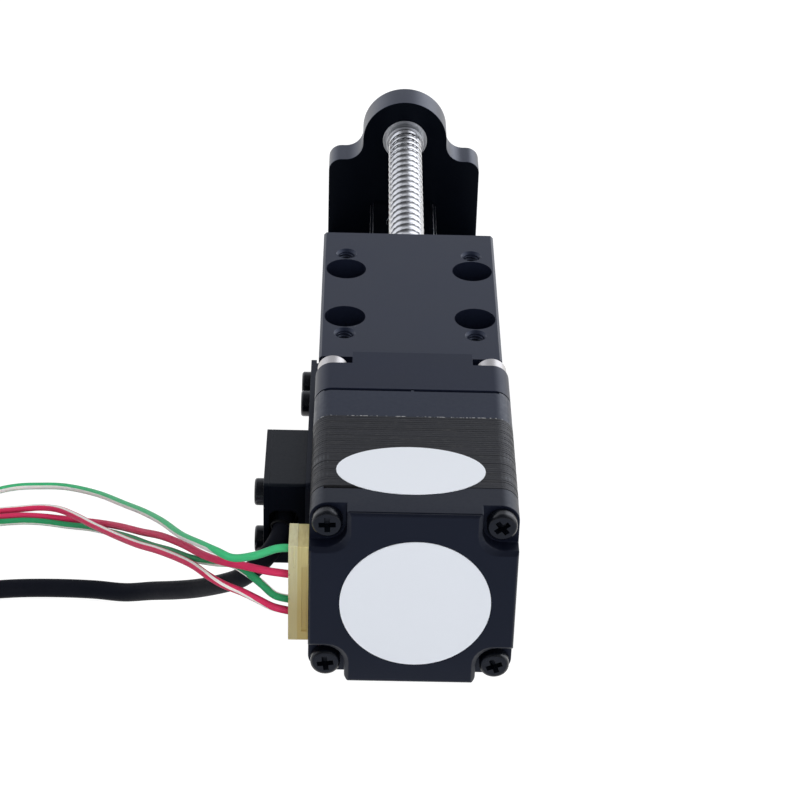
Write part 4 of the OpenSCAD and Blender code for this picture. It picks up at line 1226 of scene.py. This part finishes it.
class MODULE_OT_finish_nodes(bpy.types.Operator):
    """Gives every carried-over node its finish"""

    bl_idname = "module.finish_nodes"
    bl_label = "Finish Nodes"

    def execute(self, context):
        colours = context.scene.module_colours
        paint(anodised("black_anodised", colours.anodise), "base_plate", "carriage")
        paint(anodised("end_anodised", colours.anodise, 1, 0.34, 1.58), "end_plate")
        paint(anodised("mount_anodised", colours.anodise, 1, 0.36, 1.34), "motor_mount")
        paint(anodised("painted_sheet", (0.003, 0.004, 0.008), 0.8, 0.4, 1.36), "side_plate")
        # A darker, less glossy anodise for faces that look along -Y, standing in for the shade on them: painted
        # shade.
        anodised("painted_shade_face", (0.0012, 0.002, 0.004), 0.5, 0.3, 1.16)
        paint(cast("cast_black", colours.casting), "motor_rear_cap")
        paint(cast("cast_front", (0.008, 0.011, 0.024), STACK_HIGH.y), "motor_front_cap")
        paint(cast("lamination", (0.02, 0.02, 0.022)), "motor_stator")
        paint(steel("rail_steel", (0.6, 0.61, 0.63), 0.05, (1, 0.05, 1), 0.0001), "guide_rail")
        steel("rail_chamfer", (0.6, 0.61, 0.63), 0.4)
        paint(steel("block_steel", (0.58, 0.59, 0.61), 0.25, (1, 0.05, 1)), "guide_block")
        paint(steel("screw_steel", (0.68, 0.68, 0.69), 0.18, (1, 8, 1)), "ball_screw")
        paint(
            black_oxide("black_screw"),
            "rail_screws", "carriage_screws", "nut_set_screws", "end_plate_screws",
            "mount_screws", "coupling_set_screws", "rear_cap_screws", "side_plate_screws",
            "cover_screws",
        )
        paint(
            steel("bearing_steel", (0.7, 0.71, 0.73), 0.36, None, 0.0001),
            "guide_balls", "ball_nut", "end_bearing_outer", "end_bearing_inner",
            "end_bearing_balls", "thrust_bearing_outer", "thrust_bearing_inner",
            "thrust_bearing_balls", "end_spacer", "motor_bearing_outer",
            "motor_bearing_inner", "motor_bearing_balls", "wave_washer", "nut_balls",
        )
        paint(steel("shaft_steel", (0.66, 0.66, 0.67), 0.16), "motor_shaft")
        paint(steel("coupling_aluminium", (0.7, 0.71, 0.73), 0.28, (1, 12, 1)), "coupling")
        paint(steel("stainless_screw", (0.52, 0.5, 0.49), 0.34), "motor_screws")
        paint(steel("copper", (0.75, 0.33, 0.16), 0.3), "motor_windings")
        paint(steel("rotor_steel", (0.3, 0.3, 0.31), 0.4), "motor_rotor")
        paint(steel("pin_brass", (0.78, 0.62, 0.3), 0.2), "header_pins")
        paint(moulded("end_cap_plastic", (0.03, 0.13, 0.08)), "block_end_caps")
        rubber = moulded("seal_rubber", (0.002, 0.002, 0.003), 0.4, 1.3)
        paint(rubber, "block_end_seals", "cable_grommet")
        paint(moulded("wiper_plastic", (0.75, 0.74, 0.7)), "nut_wipers")
        box = moulded("box_plastic", (0.0015, 0.003, 0.006), 0.4, 1.32)
        paint(box, "cable_box", "cable_box_cover")
        paint(moulded("circuit_board", (0.02, 0.16, 0.06), 0.3), "sensor_board")
        paint(moulded("tie_nylon", (0.02, 0.02, 0.02), 0.4), "lead_tie", "cable_tie")
        paint(nylon("ivory_nylon", colours.ivory), "lead_plug")
        paint(nylon("header_nylon", colours.header), "pin_header")
        paint(label_film("sticker", colours.film), "rear_label", "top_label")
        for node in ("guide_balls", "end_bearing_balls", "thrust_bearing_balls", "nut_balls"):
            NODES[node].data.shade_smooth()
        return {"FINISHED"}


# ---- stage --------------------------------------------------------------------------------


class MODULE_OT_set_stage(bpy.types.Operator):
    """Sets the floor, the lights and the camera"""

    bl_idname = "module.set_stage"
    bl_label = "Set Stage"

    def execute(self, context):
        settings = context.scene.module_stage
        lay_floor(settings.floor)
        hang_card()
        area_light("top_light", (0.0, 0.05, 0.55), (0.7, 0.9), settings.top_power)
        area_light("left_light", (-0.6, 0.1, 0.3), (0.3, 0.8), settings.side_power)
        area_light("right_light", (0.6, 0.1, 0.3), (0.3, 0.8), settings.side_power)
        area_light("front_light", (0.05, -0.62, 0.25), (0.5, 0.4), settings.front_power)
        light_world(context.scene)
        aim_camera(context.scene)
        context.scene.view_settings.view_transform = "Standard"
        return {"FINISHED"}


def stage_plane(name, size, place, **finish):
    """A plane of the stage and the recipe of its own plain material."""
    deselect()
    bpy.ops.mesh.primitive_plane_add(size=size, location=place)
    plane = bpy.context.object
    plane.name = name
    recipe = Recipe(name)
    recipe.set(**finish)
    plane.data.materials.append(recipe.material)
    return plane, recipe


def lay_floor(colour):
    """A pale floor that looks white, and still shows the module's shadow."""
    recipe = stage_plane(
        "floor", 6, (0, 0, -0.02 * MM), Base_Color=shade(colour, 0.3), Roughness=0.9,
        Specular_IOR_Level=0.0, Emission_Color=(1, 1, 1, 1),
    )[1]
    path = recipe.node("ShaderNodeLightPath").outputs
    seen = recipe.maths("MAXIMUM", path["Is Camera Ray"], path["Is Glossy Ray"])
    seen = recipe.maths("MAXIMUM", seen, path["Is Transmission Ray"])
    recipe.set(Emission_Strength=recipe.maths("MULTIPLY", seen, 0.92))


def hang_card():
    """A grey card lies in front of the module, out of sight, for its back faces to mirror."""
    card = stage_plane(
        "grey_card", 1, (0, MOTOR_LOW.y - 0.26, 0.002), Base_Color=(0, 0, 0, 1),
        Emission_Color=(0.42, 0.46, 0.58, 1), Emission_Strength=1,
    )[0]
    card.scale = (0.6, 0.5, 1)
    card.visible_camera = False
    card.visible_diffuse = False
    card.visible_shadow = False


def area_light(name, place, size, power):
    data = bpy.data.lights.new(name, "AREA")
    data.shape = "RECTANGLE"
    data.size, data.size_y = size
    data.energy = power
    lamp = bpy.data.objects.new(name, data)
    bpy.context.scene.collection.objects.link(lamp)
    lamp.location = place
    lamp.visible_glossy = False
    target = Vector((0, -0.03, 0.02))
    lamp.rotation_euler = (target - Vector(place)).to_track_quat("-Z", "Y").to_euler()


def light_world(scene):
    """White behind the module; mirrors see a studio with bright sides and a dim ceiling and back."""
    scene.world = bpy.data.worlds.new("studio")
    scene.world.use_nodes = True
    wiring = Wiring(scene.world.node_tree)
    way = wiring.node("ShaderNodeTexCoord").outputs["Generated"]
    way = wiring.node("ShaderNodeSeparateXYZ", {"Vector": way}).outputs
    right = wiring.between(way["X"], 0.0, 1.0, 0.16, 0.38, "SMOOTHSTEP")
    left = wiring.between(way["X"], 0.68, 1.1, -0.25, -0.45, "SMOOTHSTEP")
    ceiling = wiring.between(way["Z"], 1.0, 0.3, 0.7, 0.97, "SMOOTHSTEP")
    behind = wiring.between(way["Y"], 0.15, 1.0, -0.6, 0.1, "SMOOTHSTEP")
    sides = wiring.maths("MULTIPLY_ADD", right, 1.3, left)
    mirrored = wiring.maths("MULTIPLY", wiring.maths("MULTIPLY", sides, ceiling), behind)
    path = wiring.node("ShaderNodeLightPath").outputs
    seen = wiring.maths("MAXIMUM", path["Is Camera Ray"], path["Is Transmission Ray"])
    lit = wiring.maths("MULTIPLY_ADD", seen, 0.55, 0.45)
    extra = wiring.maths("MULTIPLY", path["Is Glossy Ray"], wiring.maths("SUBTRACT", mirrored, lit))
    cool = wiring.blend(path["Is Glossy Ray"], (1, 1, 1, 1), (0.95, 0.98, 1.06, 1))
    background = wiring.tree.nodes["Background"].inputs
    wiring.put(background["Strength"], wiring.maths("ADD", lit, extra))
    wiring.put(background["Color"], cool)


def aim_camera(scene):
    """The camera stands behind the motor, looking down along the module."""
    yaw, pitch, roll = (math.radians(a) for a in (1.31, 32.1, 1.88))
    data = bpy.data.cameras.new("camera")
    data.sensor_width = 36
    data.lens = 112.02
    data.clip_start = 0.01
    camera = bpy.data.objects.new("camera", data)
    scene.collection.objects.link(camera)
    turn = Matrix.Rotation(-yaw, 4, "Z") @ Matrix.Rotation(math.pi / 2 - pitch, 4, "X")
    place = Matrix.Translation(Vector((-8.69, -354.31, 227.08)) * MM)
    camera.matrix_world = place @ turn @ Matrix.Rotation(roll, 4, "Z")
    scene.camera = camera


# ---- panel and run ---------------------------------------------------------------------------

OPERATORS = (
    MODULE_OT_finish_nodes,
    MODULE_OT_ease_plates,
    MODULE_OT_build_motor,
    MODULE_OT_drive_screws,
    MODULE_OT_mould_connector,
    MODULE_OT_close_cable_box,
    MODULE_OT_roll_screw,
    MODULE_OT_lay_leads,
    MODULE_OT_lay_cable,
    MODULE_OT_set_stage,
)


class MODULE_PT_dress(bpy.types.Panel):
    """Lists the module's settings and the operators that dress it"""

    bl_idname = "MODULE_PT_dress"
    bl_label = "Linear Module"
    bl_space_type = "VIEW_3D"
    bl_region_type = "UI"
    bl_category = "Linear Module"

    def draw(self, context):
        layout = self.layout
        for group in ("module_sizes", "module_colours", "module_stage"):
            settings = getattr(context.scene, group)
            column = layout.column(align=True)
            for name in settings.bl_rna.properties.keys():
                if name not in ("rna_type", "name"):
                    column.prop(settings, name)
        for operator in OPERATORS:
            layout.operator(operator.bl_idname)


CLASSES = (ModuleSizes, ModuleColours, ModuleStage, *OPERATORS, MODULE_PT_dress)


def register():
    for cls in CLASSES:
        bpy.utils.register_class(cls)
    bpy.types.Scene.module_sizes = PointerProperty(type=ModuleSizes)
    bpy.types.Scene.module_colours = PointerProperty(type=ModuleColours)
    bpy.types.Scene.module_stage = PointerProperty(type=ModuleStage)


def unregister():
    del bpy.types.Scene.module_stage
    del bpy.types.Scene.module_colours
    del bpy.types.Scene.module_sizes
    for cls in reversed(CLASSES):
        bpy.utils.unregister_class(cls)


def main():
    register()
    for operator in OPERATORS:
        group, name = operator.bl_idname.split(".")
        getattr(getattr(bpy.ops, group), name)()


if __name__ == "__main__":
    main()
